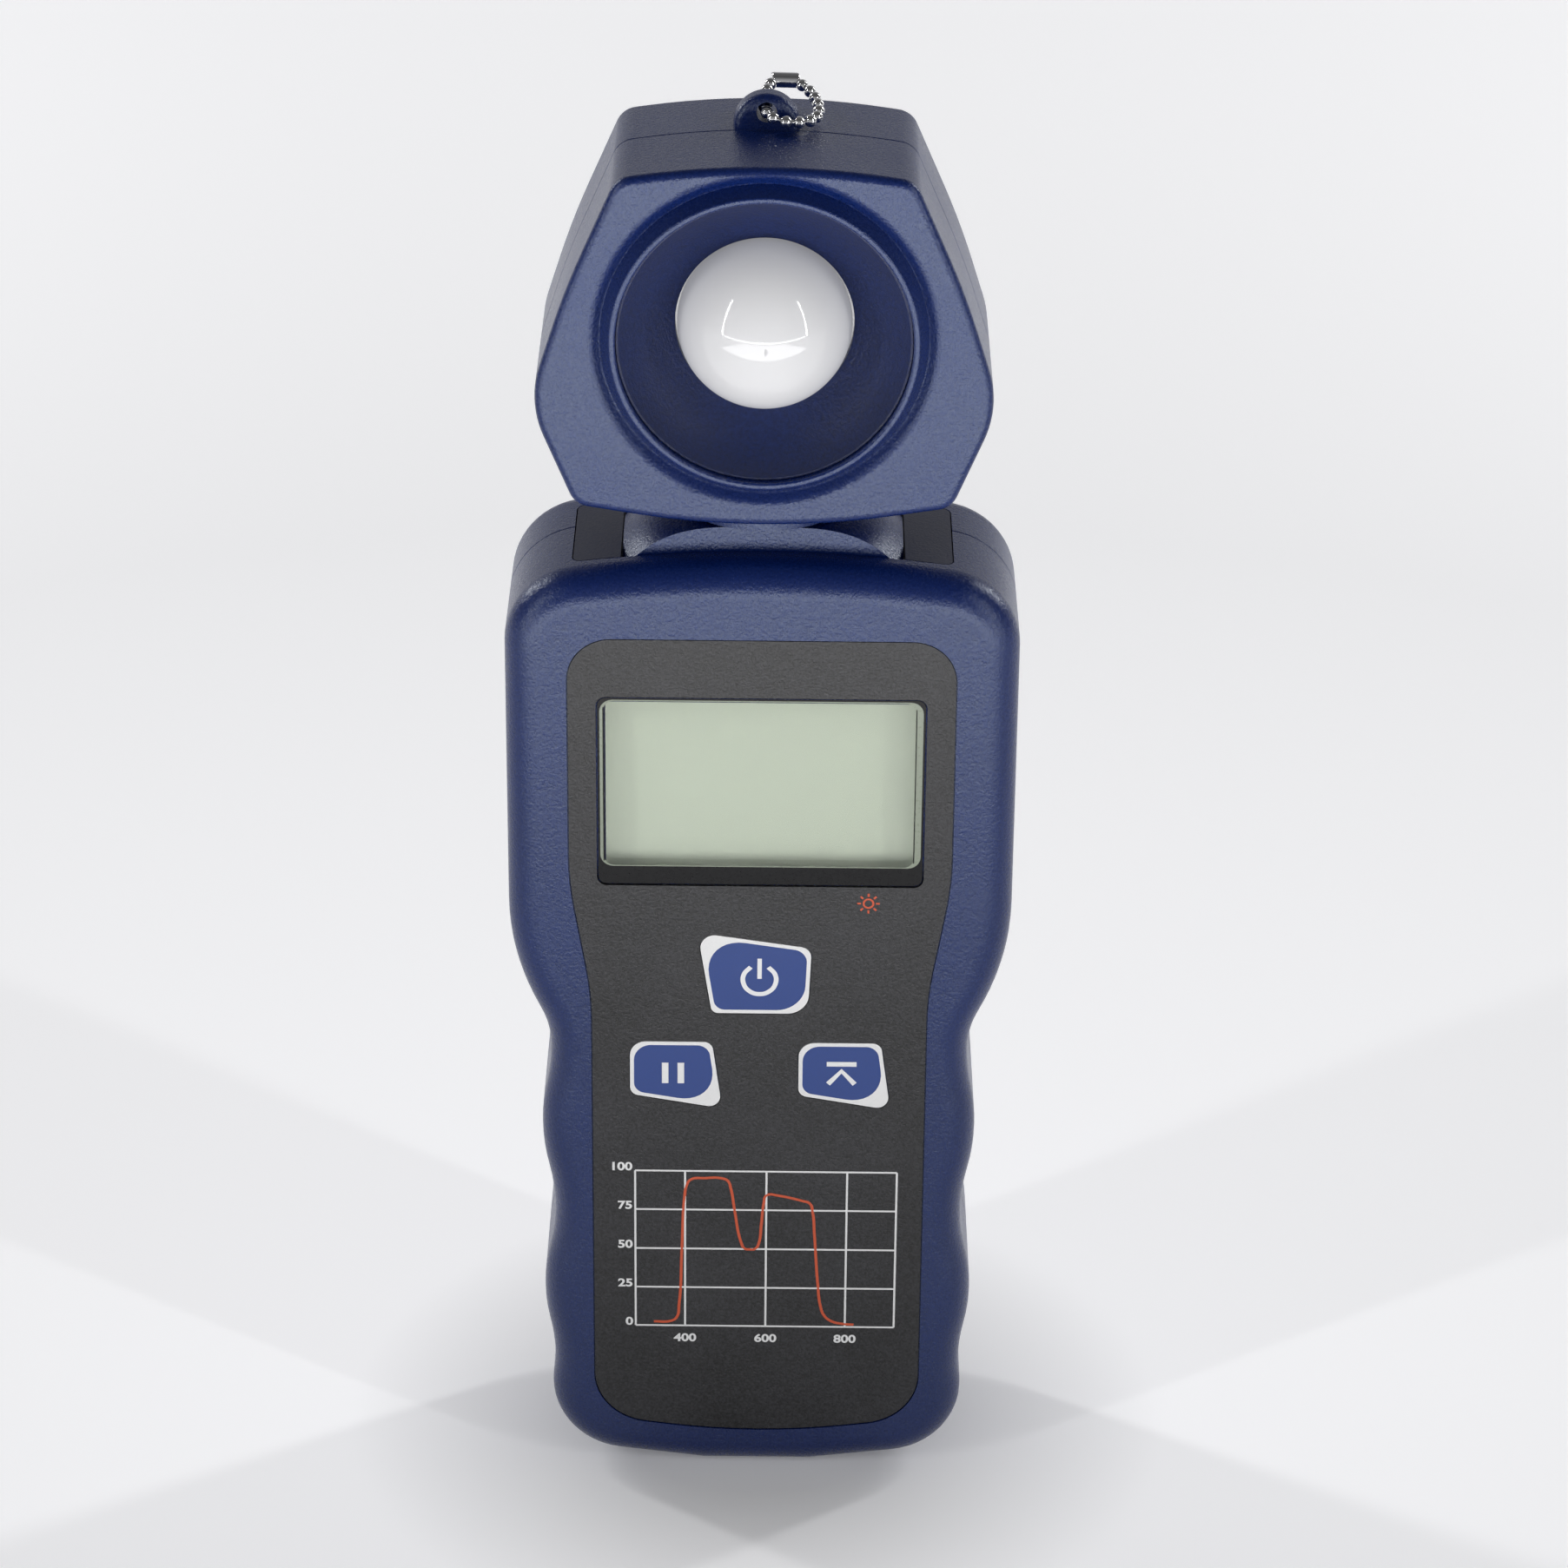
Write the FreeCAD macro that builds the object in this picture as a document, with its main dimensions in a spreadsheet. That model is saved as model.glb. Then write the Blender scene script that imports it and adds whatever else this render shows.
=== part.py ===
"""Handheld light meter: a moulded case with a display and three keys, and a swivelling sensor head.

Millimetres. +Z runs up the meter as it stands on its base, the display faces -Y, and the origin
is the middle of the base face. "Forward" distances are measured from the mid-plane towards -Y.
"""
import FreeCAD, Part
import math
import os
import re

from FreeCAD import Placement, Rotation, Vector

doc = FreeCAD.newDocument("light_meter")

# ---------------------------------------------------------------- driving dimensions

SIZES = (
    # case
    ("case_width", 63.5, "width across the straight upper sides"),
    ("case_depth", 28.0, "front face to back face"),
    ("case_height", 130.7, "base to the middle of the crown"),
    ("crown_radius", 170.0, "radius of the crowned top"),
    ("shoulder_radius", 10.0, "radius of the shoulders"),
    ("case_edge_radius", 4.0, "rounding of the front and back edges"),
    ("case_wall", 2.2, "wall thickness of both shells"),
    ("parting_back", 2.0, "parting plane of the shells behind the mid-plane"),
    ("parting_line", 0.15, "chamfer along the parting edges"),
    ("grip_drop", 47.1, "end of the straight sides below the crown"),
    ("waist_upper_width", 53.3, "upper waist of the grip"),
    ("waist_upper_height", 62.4, "height of the upper waist"),
    ("grip_share", 0.27, "share of the top sweep taken by the waist's own arc"),
    ("bulge_upper_width", 55.7, "upper finger bulge"),
    ("bulge_upper_height", 51.0, "height of the upper bulge"),
    ("waist_middle_width", 52.7, "middle waist of the grip"),
    ("waist_middle_height", 38.2, "height of the middle waist"),
    ("bulge_lower_width", 55.6, "lower finger bulge"),
    ("bulge_lower_height", 26.4, "height of the lower bulge"),
    ("waist_lower_width", 53.2, "lower waist of the grip"),
    ("waist_lower_height", 15.5, "height of the lower waist"),
    ("heel_width", 53.8, "width across the heel"),
    ("heel_height", 11.3, "height of the heel's widest point"),
    ("heel_radius", 10.0, "radius of the bottom corners"),
    ("base_flat", 14.0, "width of the flat base"),
    ("seam_gap", 0.15, "gap round a seated piece"),
    # faceplate
    ("face_recess", 0.6, "depth of the recess that takes the faceplate"),
    ("face_film", 0.5, "thickness of the faceplate film"),
    ("face_gap", 0.15, "gap round the faceplate"),
    ("face_width", 47.8, "width of the faceplate at the display"),
    ("face_grip_width", 42.4, "width of the faceplate at the grip"),
    ("face_drop", 9.7, "top edge of the faceplate below the crown"),
    ("face_bottom", 6.4, "lowest point of the faceplate"),
    ("face_neck_drop", 43.1, "start of the faceplate's narrowing below the crown"),
    ("face_neck_length", 16.0, "run of that narrowing"),
    ("face_neck_radius", 45.0, "sweep where the faceplate narrows"),
    ("face_top_radius", 5.4, "top corners"),
    ("face_bottom_radius", 7.5, "bottom corners"),
    ("face_bottom_sag", 1.8, "bottom corners above the lowest point"),
    ("face_bottom_curve", 90.0, "radius of the bottom edge"),
    # display
    ("window_width", 40.6, "clear window"),
    ("window_height", 25.8, "clear window"),
    ("window_drop", 30.5, "window's middle below the crown"),
    ("window_radius", 1.1, "window corners"),
    ("window_thickness", 1.5, "window pane"),
    ("window_sink", 0.3, "window face below the case's front face"),
    ("window_bevel", 0.3, "polished bevel round the pane"),
    ("window_ledge", 1.0, "ledge that the pane is stuck to"),
    ("glass_thickness", 2.0, "liquid crystal cell"),
    ("glass_margin", 0.9, "cell beyond the sight opening, each side"),
    ("frame_lip", 0.75, "lip of the display frame in front of the cell"),
    ("frame_wall", 1.6, "wall of the display frame"),
    ("zebra_width", 2.0, "elastomer connector"),
    ("zebra_inset", 2.4, "connector's middle from the cell's edge"),
    # boards
    ("board_front", 6.4, "front of the main board, forward of the mid-plane"),
    ("board_thickness", 1.6, "circuit boards"),
    ("board_width", 42.0, "main board"),
    ("board_bottom", 17.0, "lower edge of the main board"),
    ("board_drop", 14.1, "upper edge of the main board below the crown"),
    ("board_screw_spread", 37.0, "board screws, across"),
    ("board_screw_low", 23.0, "height of the lower board screws"),
    ("board_screw_drop", 48.9, "upper board screws below the crown"),
    ("board_boss_radius", 2.3, "bosses under the board"),
    ("board_screw_radius", 0.85, "board screw shank"),
    ("board_screw_length", 4.6, "board screw shank"),
    ("chip_height", 1.6, "packages on the back of the board"),
    # keys
    ("key_travel", 0.4, "press of a key"),
    ("key_cap", 0.55, "thickness of a key cap"),
    ("key_float", 0.05, "free play of a key"),
    ("key_gap", 0.12, "gap round a key"),
    ("key_stem_radius", 1.5, "stem behind a key"),
    ("key_flange_radius", 2.6, "flange that keeps a key in"),
    ("key_flange", 0.6, "thickness of that flange"),
    ("switch_height", 1.6, "housing of a switch"),
    ("switch_side", 5.2, "housing of a switch"),
    ("switch_dome", 0.3, "rise of the snap dome"),
    ("power_key_drop", 56.2, "middle of the power key below the crown"),
    ("lower_key_drop", 14.3, "middle of the lower keys below the power key"),
    ("lower_key_spread", 21.5, "between the two lower keys"),
    ("power_key_width", 14.0, "power key, across"),
    ("power_key_rise", 11.0, "power key, up"),
    ("lower_key_width", 11.6, "lower keys, across"),
    ("lower_key_rise", 9.8, "lower keys, up"),
    ("key_corner", 2.4, "usual corner of a key"),
    # case screws
    ("case_screw_drop", 24.1, "upper case screws below the crown"),
    ("case_screw_high_spread", 51.0, "upper case screws, across"),
    ("case_screw_low", 9.6, "height of the lower case screws"),
    ("case_screw_low_spread", 33.0, "lower case screws, across"),
    ("screw_boss_radius", 3.0, "bosses of the case screws"),
    ("screw_head_radius", 2.2, "case screw head"),
    ("screw_head_height", 1.5, "case screw head"),
    ("screw_shank_radius", 1.2, "case screw shank"),
    ("screw_shank_length", 13.0, "case screw shank"),
    ("screw_sink", 5.0, "screw seat below the back face"),
    ("screw_gap", 0.3, "gap round a screw head"),
    ("thread_gap", 0.05, "gap round a screw shank"),
    ("pilot_extra", 0.5, "pilot hole beyond the screw"),
    # top insert, turret and swivel
    ("insert_width", 46.6, "top insert, across"),
    ("insert_depth", 17.2, "top insert, front to back"),
    ("insert_corner", 1.2, "corners of the insert"),
    ("insert_drop", 9.7, "underside of the insert below the crown"),
    ("flange_rim", 2.0, "insert flange under the shells"),
    ("flange_drop", 5.7, "top of that flange below the crown"),
    ("flange_thickness", 2.0, "thickness of that flange"),
    ("trough_width", 34.9, "trough across the insert"),
    ("deck_drop", 1.7, "floor of the trough below the crown"),
    ("turret_height", 4.8, "turret above the trough"),
    ("turret_top_radius", 13.6, "turret, top"),
    ("turret_slope", 1.03, "turret spread per unit of height"),
    ("turret_edge", 11.5, "rounding of the turret's top edge"),
    ("turret_flat", 0.2, "turret flat behind the insert's edge"),
    ("spigot_radius", 7.0, "turret spigot in the insert"),
    ("spindle_radius", 4.8, "swivel spindle"),
    ("spindle_bore", 2.2, "bore for the sensor lead, radius"),
    ("spindle_reach", 3.8, "spindle below the insert"),
    ("running_gap", 0.06, "clearance of the swivel"),
    ("collar_radius", 10.2, "collar under the head"),
    ("collar_gap", 0.3, "turret top to collar"),
    ("collar_rise", 1.6, "thickness of the collar"),
    ("neck_radius", 8.3, "spindle through the head's floor"),
    ("clamp_radius", 10.4, "spindle flange held inside the head"),
    ("clamp_flat", 9.0, "flats of that flange from the axis"),
    ("clamp_seat", 2.6, "floor under that flange"),
    ("clamp_thickness", 1.6, "spindle flange"),
    ("washer_thickness", 0.4, "friction washer"),
    ("stop_plate", 1.2, "stop plate"),
    ("stop_radius", 6.8, "stop plate disc"),
    ("stop_reach", 8.4, "reach of its tab"),
    ("stop_tab_angle", 30.0, "width of its tab, degrees"),
    ("swivel_angle", 135.0, "swivel each way, degrees"),
    ("clip_thickness", 0.8, "retaining clip"),
    ("clip_radius", 6.6, "retaining clip"),
    ("clip_groove", 0.9, "depth of the clip's groove"),
    # head
    ("head_gap", 0.1, "collar to head"),
    ("head_height", 45.9, "head without its lug"),
    ("head_top_width", 35.3, "across the top corners"),
    ("head_width", 56.8, "across the widest corners"),
    ("head_foot_width", 45.7, "across the bottom corners"),
    ("head_top_fall", 1.7, "top corners below the top"),
    ("head_top_apex", 0.9, "apex of the top edge before its curve"),
    ("head_foot_rise", 2.5, "bottom corners above the bottom"),
    ("head_foot_apex", 1.25, "apex of the bottom edge before its curve"),
    ("head_edge_curve", 100.0, "curve of the top and bottom edges"),
    ("head_top_corner", 3.0, "top corner radius"),
    ("head_side_corner", 13.3, "radius of the widest corners"),
    ("head_foot_corner", 2.9, "bottom corner radius"),
    ("head_side_bulge", 0.85, "bulge of the upper sides"),
    ("head_side_curve", 100.0, "curve of the upper sides"),
    ("head_widest", 15.8, "widest corners above the bottom"),
    ("head_front", 13.0, "front face, forward of the swivel axis"),
    ("head_back", 13.6, "back face behind the swivel axis"),
    ("head_parting", 1.0, "parting plane behind the swivel axis"),
    ("head_edge_radius", 1.0, "front and back edges"),
    ("head_wall", 2.0, "wall of the head"),
    ("optic_height", 24.0, "optical axis above the head's bottom"),
    ("ring_rise", 1.2, "ring proud of the head's face"),
    ("ring_inner", 17.8, "inner radius of the ring"),
    ("ring_width", 0.7, "width of the ring's crest"),
    ("ring_edge", 0.3, "rounding of the crest"),
    ("ring_foot", 1.2, "run of the ring's flank down to the groove"),
    ("groove_depth", 0.8, "depth of the groove round the ring"),
    ("groove_outer", 20.9, "radius where the groove's side meets the face"),
    ("groove_sweep", 0.8, "hollow at the bottom of the groove"),
    ("groove_lip", 1.6, "rounding where the groove meets the face"),
    ("well_wall", 1.7, "wall of the optical well"),
    ("well_floor", 3.4, "floor of the well, forward of the axis"),
    ("well_floor_thickness", 1.6, "floor of the well"),
    ("light_hole", 9.4, "hole in that floor, radius"),
    ("dish_throat", 10.8, "inner radius of the dish"),
    ("dish_lip", 1.3, "thickness of the dish at its throat"),
    ("dish_gap", 0.08, "gap round the dish"),
    ("dish_foot", 1.5, "width of the dish's foot"),
    ("dish_sink", 1.1, "dish rim below the ring"),
    ("dish_rim", 0.25, "width of the dish rim"),
    ("dish_hollow", 0.7, "hollow of the dish"),
    ("dome_radius", 10.6, "diffuser dome"),
    ("dome_wall", 1.3, "thickness of the dome"),
    ("dome_skirt", 0.7, "straight skirt of the dome"),
    ("dome_flange", 1.2, "flange of the dome"),
    ("dome_flange_radius", 12.4, "flange of the dome"),
    ("seal_section", 0.5, "gasket under the dome"),
    ("sensor_front", 1.5, "sensor board behind the swivel axis"),
    ("sensor_radius", 15.2, "sensor board"),
    ("sensor_screw_circle", 13.0, "radius of its screw circle"),
    ("sensor_boss_radius", 1.8, "bosses under the sensor board"),
    ("holder_radius", 8.0, "filter holder"),
    ("holder_height", 4.2, "filter holder"),
    ("filter_radius", 6.0, "optical filter"),
    ("filter_thickness", 1.2, "optical filter"),
    ("diode_radius", 4.1, "photodiode can"),
    ("diode_height", 2.2, "photodiode can"),
    ("head_screw_low", 8.3, "lower head screws above the bottom"),
    ("head_screw_low_spread", 41.0, "lower head screws, across"),
    ("head_screw_high", 40.2, "upper head screws above the bottom"),
    ("head_screw_high_spread", 30.0, "upper head screws, across"),
    ("head_boss_radius", 2.5, "bosses of the head screws"),
    ("head_screw_radius", 1.0, "head screw shank"),
    ("head_screw_head", 1.9, "head screw head"),
    ("head_screw_head_height", 1.3, "head screw head"),
    ("head_screw_length", 13.0, "head screw shank"),
    ("head_screw_sink", 4.0, "screw seat below the head's back"),
    ("sensor_screw_radius", 0.6, "sensor board screws"),
    ("sensor_screw_length", 4.0, "sensor board screws"),
    ("sensor_screw_head", 1.2, "sensor board screws"),
    ("sensor_screw_head_height", 0.8, "sensor board screws"),
    # lug and chain
    ("lug_radius", 4.0, "lanyard lug"),
    ("lug_front", 1.3, "front of the lug behind the axis"),
    ("lug_thickness", 3.4, "lanyard lug"),
    ("lug_edge", 1.0, "rounding of the lug"),
    ("lug_hole_radius", 1.25, "hole in the lug"),
    ("lug_hole_rise", 1.9, "hole above the head's top"),
    ("bead_radius", 0.75, "chain bead"),
    ("bead_pitch", 1.72, "bead to bead"),
    ("link_radius", 0.28, "wire between beads"),
    ("clasp_radius", 0.95, "barrel clasp"),
    # batteries
    ("cell_radius", 5.25, "dry cell"),
    ("cell_length", 44.5, "dry cell with its button"),
    ("cell_button", 1.0, "height of its button"),
    ("cell_button_radius", 1.9, "button"),
    ("cell_pitch", 11.2, "cell to cell"),
    ("cell_spring", 4.0, "working length of a contact spring"),
    ("contact_plate", 0.4, "contact plates"),
    ("tag_width", 2.0, "soldering tags of the contact plates"),
    ("bay_bottom", 20.0, "lower end of the battery bay"),
    ("bay_wall", 1.4, "walls of the battery bay"),
    ("bay_gap", 0.1, "cells to floor and cover"),
    ("bay_side_gap", 0.9, "outer cells to the side walls"),
    ("cover_thickness", 1.95, "battery cover"),
    ("cover_ledge", 1.1, "cover resting on the bay's walls"),
    ("cover_gap", 0.15, "gap round the cover"),
    ("hook_width", 2.4, "cover hooks"),
    ("hook_thickness", 1.2, "cover hooks"),
    ("hook_drop", 0.35, "cover hooks below the cover's inner face"),
    ("hook_reach", 2.3, "cover hooks below the opening"),
    ("hook_swing", 1.3, "room for a hook as the cover opens"),
    # sensor lead
    ("lead_radius", 1.1, "sensor lead"),
    ("lead_rise", 11.2, "upper end of the lead above the head's bottom"),
    ("socket_drop", 36.1, "lead socket below the crown"),
    ("socket_height", 5.0, "lead socket on the board"),
    ("socket_width", 7.0, "lead socket on the board"),
    ("socket_depth", 3.4, "lead socket on the board"),
)

sheet = doc.addObject("Spreadsheet::Sheet", "Sizes")
for row, (alias, number, note) in enumerate(SIZES, start=1):
    sheet.set(f"A{row}", note)
    sheet.set(f"B{row}", str(number))
    sheet.setAlias(f"B{row}", alias)
doc.recompute()

ALIASES = {alias for alias, number, note in SIZES}

# Heights that hang from the crown or stand on one another, so that the pieces keep together.
HEIGHTS = {
    "grip_top": "case_height - grip_drop",
    "face_top": "case_height - face_drop",
    "face_neck_top": "case_height - face_neck_drop",
    "face_neck_bottom": "face_neck_top - face_neck_length",
    "window_middle": "case_height - window_drop",
    "board_top": "case_height - board_drop",
    "board_screw_high": "case_height - board_screw_drop",
    "power_key_height": "case_height - power_key_drop",
    "lower_key_height": "power_key_height - lower_key_drop",
    "case_screw_high": "case_height - case_screw_drop",
    "socket_bottom": "case_height - socket_drop",
    "insert_bottom": "case_height - insert_drop",
    "flange_top": "case_height - flange_drop",
    "deck_height": "case_height - deck_drop",
    "turret_top": "deck_height + turret_height",
    "spindle_bottom": "insert_bottom - spindle_reach",
    "head_bottom": "turret_top + collar_gap + collar_rise + head_gap",
    "lead_top": "head_bottom + lead_rise",
}


def bound(text):
    """The expression with each alias read from the sheet, ready for setExpression."""
    def read(word):
        if word[0] in HEIGHTS:
            return "(" + bound(HEIGHTS[word[0]]) + ")"
        return ("Sizes." if word[0] in ALIASES else "") + word[0]

    return re.sub(r"[a-z_]+", read, text)


def size(text):
    """The number that an expression of aliases gives."""
    return float(sheet.evalExpression(bound(text)))


# ---------------------------------------------------------------- drawing outlines

def line(start, end):
    return Part.LineSegment(Vector(*start, 0), Vector(*end, 0))


def arc_through(start, middle, end):
    """Arc through three points, always run anticlockwise, as the sketcher wants it."""
    turn = (middle - start).cross(end - middle).z
    first, last = (start, end) if turn > 0 else (end, start)
    return Part.Arc(first, middle, last)


def arc(centre, start, end):
    """The shorter arc about a centre."""
    centre, start, end = (Vector(*point, 0) for point in (centre, start, end))
    radius = (start - centre).Length
    towards = (start - centre) + (end - centre)
    return arc_through(start, centre + towards.normalize() * radius, end)


def circle(x, y, radius):
    return [Part.Circle(Vector(x, y, 0), Vector(0, 0, 1), radius)]


def rounded(corners):
    """Closed outline of straight runs; each corner is (x, y, radius)."""
    starts, ends, shapes = [], [], []
    count = len(corners)
    for index, (x, y, radius) in enumerate(corners):
        here = Vector(x, y, 0)
        inward = (here - Vector(*corners[index - 1][:2], 0)).normalize()
        outward = (Vector(*corners[(index + 1) % count][:2], 0) - here).normalize()
        half_turn = inward.getAngle(outward) / 2
        reach = radius * math.tan(half_turn)
        start, end = here - inward * reach, here + outward * reach
        if radius > 0:
            to_centre = (outward - inward).normalize()
            middle = here + to_centre * (radius / math.cos(half_turn) - radius)
            shapes.append(arc_through(start, middle, end))
        starts.append(start)
        ends.append(end)
    for index in range(count):
        shapes.append(Part.LineSegment(ends[index - 1], starts[index]))
    return shapes


def polygon(points):
    return rounded([(x, y, 0) for x, y in points])


def rectangle(left, bottom, right, top, radius=0.0):
    return rounded([(left, bottom, radius), (right, bottom, radius),
                    (right, top, radius), (left, top, radius)])


def wire_of(shapes):
    return Part.Wire(Part.__sortEdges__([shape.toShape() for shape in shapes]))


def shapes_of(wire):
    """Lines and arcs of a flat wire, as a sketch takes them."""
    shapes = []
    for edge in wire.Edges:
        first, last = edge.ParameterRange
        start, end = edge.valueAt(first), edge.valueAt(last)
        if isinstance(edge.Curve, Part.Line):
            shapes.append(Part.LineSegment(start, end))
        elif edge.isClosed():
            shapes.append(Part.Circle(edge.Curve.Center, Vector(0, 0, 1), edge.Curve.Radius))
        else:
            shapes.append(arc_through(start, edge.valueAt((first + last) / 2), end))
    return shapes


def grown(shapes, distance):
    return shapes_of(wire_of(shapes).makeOffset2D(distance))


def clipped(shapes, window):
    """The part of one closed outline that lies inside another."""
    common = Part.Face(wire_of(shapes)).common(Part.Face(wire_of(window)))
    return shapes_of(common.Faces[0].OuterWire)


# ---------------------------------------------------------------- building bodies

def new_body(label):
    body = doc.addObject("PartDesign::Body", label)
    body.Label = label
    return body


def sketch_on(body, shapes, lift, plane, rise="0"):
    """Sketch on one of the body's own planes, lifted along the plane's normal."""
    sketch = body.newObject("Sketcher::SketchObject", body.Name + "_sketch")
    support = next(item for item in body.Origin.OriginFeatures if item.Role == plane)
    sketch.AttachmentSupport = [(support, "")]
    sketch.MapMode = "FlatFace"
    sketch.setExpression("AttachmentOffset.Base.z", bound(lift))
    sketch.setExpression("AttachmentOffset.Base.y", bound(rise))
    for shape in shapes:
        sketch.addGeometry(shape, False)
    return sketch


def finish(body, feature, grows):
    """Recompute, and stop if the feature did not add or remove material as it should."""
    before = feature.BaseFeature.Shape.Volume if feature.BaseFeature else 0.0
    doc.recompute()
    change = feature.Shape.Volume - before
    if not feature.isValid() or change == 0 or (change > 0) != grows:
        raise RuntimeError(f"{body.Label}: {feature.Name} changes the volume by {change:.3f}")
    return feature


def pad(body, shapes, lift, length, plane="XZ_Plane", back=True):
    """Material from the sketch plane; on XZ it runs backwards, on XY it runs up."""
    feature = body.newObject("PartDesign::Pad", body.Name + "_pad")
    feature.Profile = sketch_on(body, shapes, lift, plane)
    feature.setExpression("Length", bound(length))
    feature.Reversed = back if plane == "XZ_Plane" else False
    return finish(body, feature, True)


def pocket(body, shapes, lift, length, plane="XZ_Plane", away=False):
    """A cut from the sketch plane; on XZ it runs backwards, on XY down, or the other way if away."""
    feature = body.newObject("PartDesign::Pocket", body.Name + "_pocket")
    feature.Profile = sketch_on(body, shapes, lift, plane)
    feature.setExpression("Length", bound(length))
    feature.Reversed = away
    return finish(body, feature, False)


def revolve(body, shapes, plane, axis, rise="0", kind="Revolution"):
    """A full turn about the sketch's own axis; kind Groove cuts."""
    feature = body.newObject("PartDesign::" + kind, body.Name + "_turn")
    sketch = sketch_on(body, shapes, "0", plane, rise)
    feature.Profile = sketch
    feature.ReferenceAxis = (sketch, [axis])
    feature.Angle = 360
    return finish(body, feature, kind == "Revolution")


def soften(body, radius, wanted, kind="Fillet"):
    """Fillet or chamfer on the edges of the body's tip that pass the test."""
    base = body.Tip
    names = [f"Edge{number}" for number, edge in enumerate(base.Shape.Edges, start=1) if wanted(edge)]
    if not names:
        raise RuntimeError(f"{body.Label}: no edge to soften")
    feature = body.newObject("PartDesign::" + kind, body.Name + "_edge")
    feature.Base = (base, names)
    feature.setExpression("Radius" if kind == "Fillet" else "Size", bound(radius))
    body.Tip = feature
    return finish(body, feature, False)


def group(label, shapes):
    """Identical or related small pieces that share one node."""
    node = doc.addObject("Part::Feature", label)
    node.Label = label
    node.Shape = shapes[0] if len(shapes) == 1 else Part.makeCompound(shapes)
    return node


def box(left, front, bottom, right, back, top):
    """Box between two corners; front and back are Y values."""
    return Part.makeBox(right - left, back - front, top - bottom, Vector(left, front, bottom))


def turned(points, axis_point, axis):
    """Solid of revolution of a closed polygon of 3-D points."""
    face = Part.Face(Part.makePolygon(points + points[:1]))
    return face.revolve(axis_point, axis, 360)


def at_front(level, tolerance=0.001):
    """Test for edges that lie in one plane across the depth; level is a forward distance."""
    return lambda edge: all(abs(-vertex.Y - level) < tolerance for vertex in edge.Vertexes)


# ---------------------------------------------------------------- levels across the depth

FACE = "case_depth / 2"
RECESS = "(case_depth / 2 - face_recess)"
FILM = "(case_depth / 2 - face_recess + face_film)"
INNER = "(case_depth / 2 - case_wall)"
PARTING = "(0 - parting_back)"
BACK = "(0 - case_depth / 2)"
BOARD_BACK = "(board_front - board_thickness)"


# ---------------------------------------------------------------- outlines of the case

def wave(lower, upper, share=0.5):
    """Two tangent arcs between points where the side stands upright; share is the lower one's part."""
    (x_low, z_low), (x_high, z_high) = lower, upper
    span, rise = x_high - x_low, z_high - z_low
    radius = (span ** 2 + rise ** 2) / (2 * abs(span))
    outward = math.copysign(1.0, span)
    bend = (x_low + span * share, z_low + rise * share)
    centre_low = (x_low + outward * radius * share, z_low)
    centre_high = (x_high - outward * radius * (1 - share), z_high)
    return [(centre_low, lower, bend), (centre_high, bend, upper)]


def case_outline(wall=0.0):
    """Front outline, or the line a wall inside it: flat base, round heel, finger grip, straight
    sides, shoulders and crown. Every arc keeps its centre; only its ends move in."""
    def moved(centre, start, end):
        """The arc about its own centre with both ends a wall further in."""
        shift = wall if centre[0] > max(start[0], end[0]) else -wall
        ends = []
        for point in (start, end):
            share = 1 + shift / math.dist(centre, point)
            ends.append((centre[0] + (point[0] - centre[0]) * share,
                         centre[1] + (point[1] - centre[1]) * share))
        return (centre, *ends)

    heel = (size("heel_width / 2 - heel_radius"), size("heel_height"))
    foot = (size("base_flat / 2"), 0.0)
    reach = math.dist(heel, foot)
    climb = math.atan2(heel[1], heel[0] - foot[0]) - math.asin(size("heel_radius") / reach)
    run = math.sqrt(reach ** 2 - size("heel_radius") ** 2)
    touch = (foot[0] + run * math.cos(climb), run * math.sin(climb))
    stations = [(size(name + "_width / 2"), size(name + "_height")) for name in
                ("heel", "waist_lower", "bulge_lower", "waist_middle", "bulge_upper", "waist_upper")]
    side_top = (size("case_width / 2"), size("grip_top"))
    crown_centre = (0.0, size("case_height - crown_radius"))
    inset = size("case_width / 2 - shoulder_radius")
    span = size("crown_radius - shoulder_radius")
    shoulder = (inset, crown_centre[1] + math.sqrt(span ** 2 - inset ** 2))
    scale = size("crown_radius") / span
    crown_end = (inset * scale, crown_centre[1] + (shoulder[1] - crown_centre[1]) * scale)
    straight_end = (side_top[0], shoulder[1])
    arcs = [(heel, touch, stations[0])]
    for lower, upper in zip(stations, stations[1:]):
        arcs += wave(lower, upper)
    arcs += wave(stations[-1], side_top, size("grip_share"))
    arcs.append((shoulder, straight_end, crown_end))
    arcs = [moved(*bend) for bend in arcs]
    foot = (foot[0] - wall * math.tan(climb / 2), wall)
    touch, side_top = arcs[0][1], arcs[-2][2]
    straight_end, crown_end = arcs[-1][1:]
    shapes = [line((-foot[0], wall), foot), arc(crown_centre, (-crown_end[0], crown_end[1]), crown_end)]
    for side in (1, -1):
        def placed(point):
            return (side * point[0], point[1])
        shapes.append(line(placed(foot), placed(touch)))
        shapes.append(line(placed(side_top), placed(straight_end)))
        shapes += [arc(placed(centre), placed(start), placed(end)) for centre, start, end in arcs]
    return shapes


def face_outline():
    """The faceplate: wide at the display, narrower between the fingers, round at the bottom."""
    wide, narrow = size("face_width / 2"), size("face_grip_width / 2")
    sweep = size("face_neck_radius")
    sag = size("face_bottom_sag")
    half = [
        (wide, size("face_top"), size("face_top_radius")),
        (wide, size("face_neck_top"), sweep),
        (narrow, size("face_neck_bottom"), sweep),
        (narrow, size("face_bottom") + sag, size("face_bottom_radius")),
    ]
    keel = (0.0, size("face_bottom") - sag / 2, size("face_bottom_curve"))
    return rounded([(-x, z, radius) for x, z, radius in half] + [keel] + half[::-1])


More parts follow.
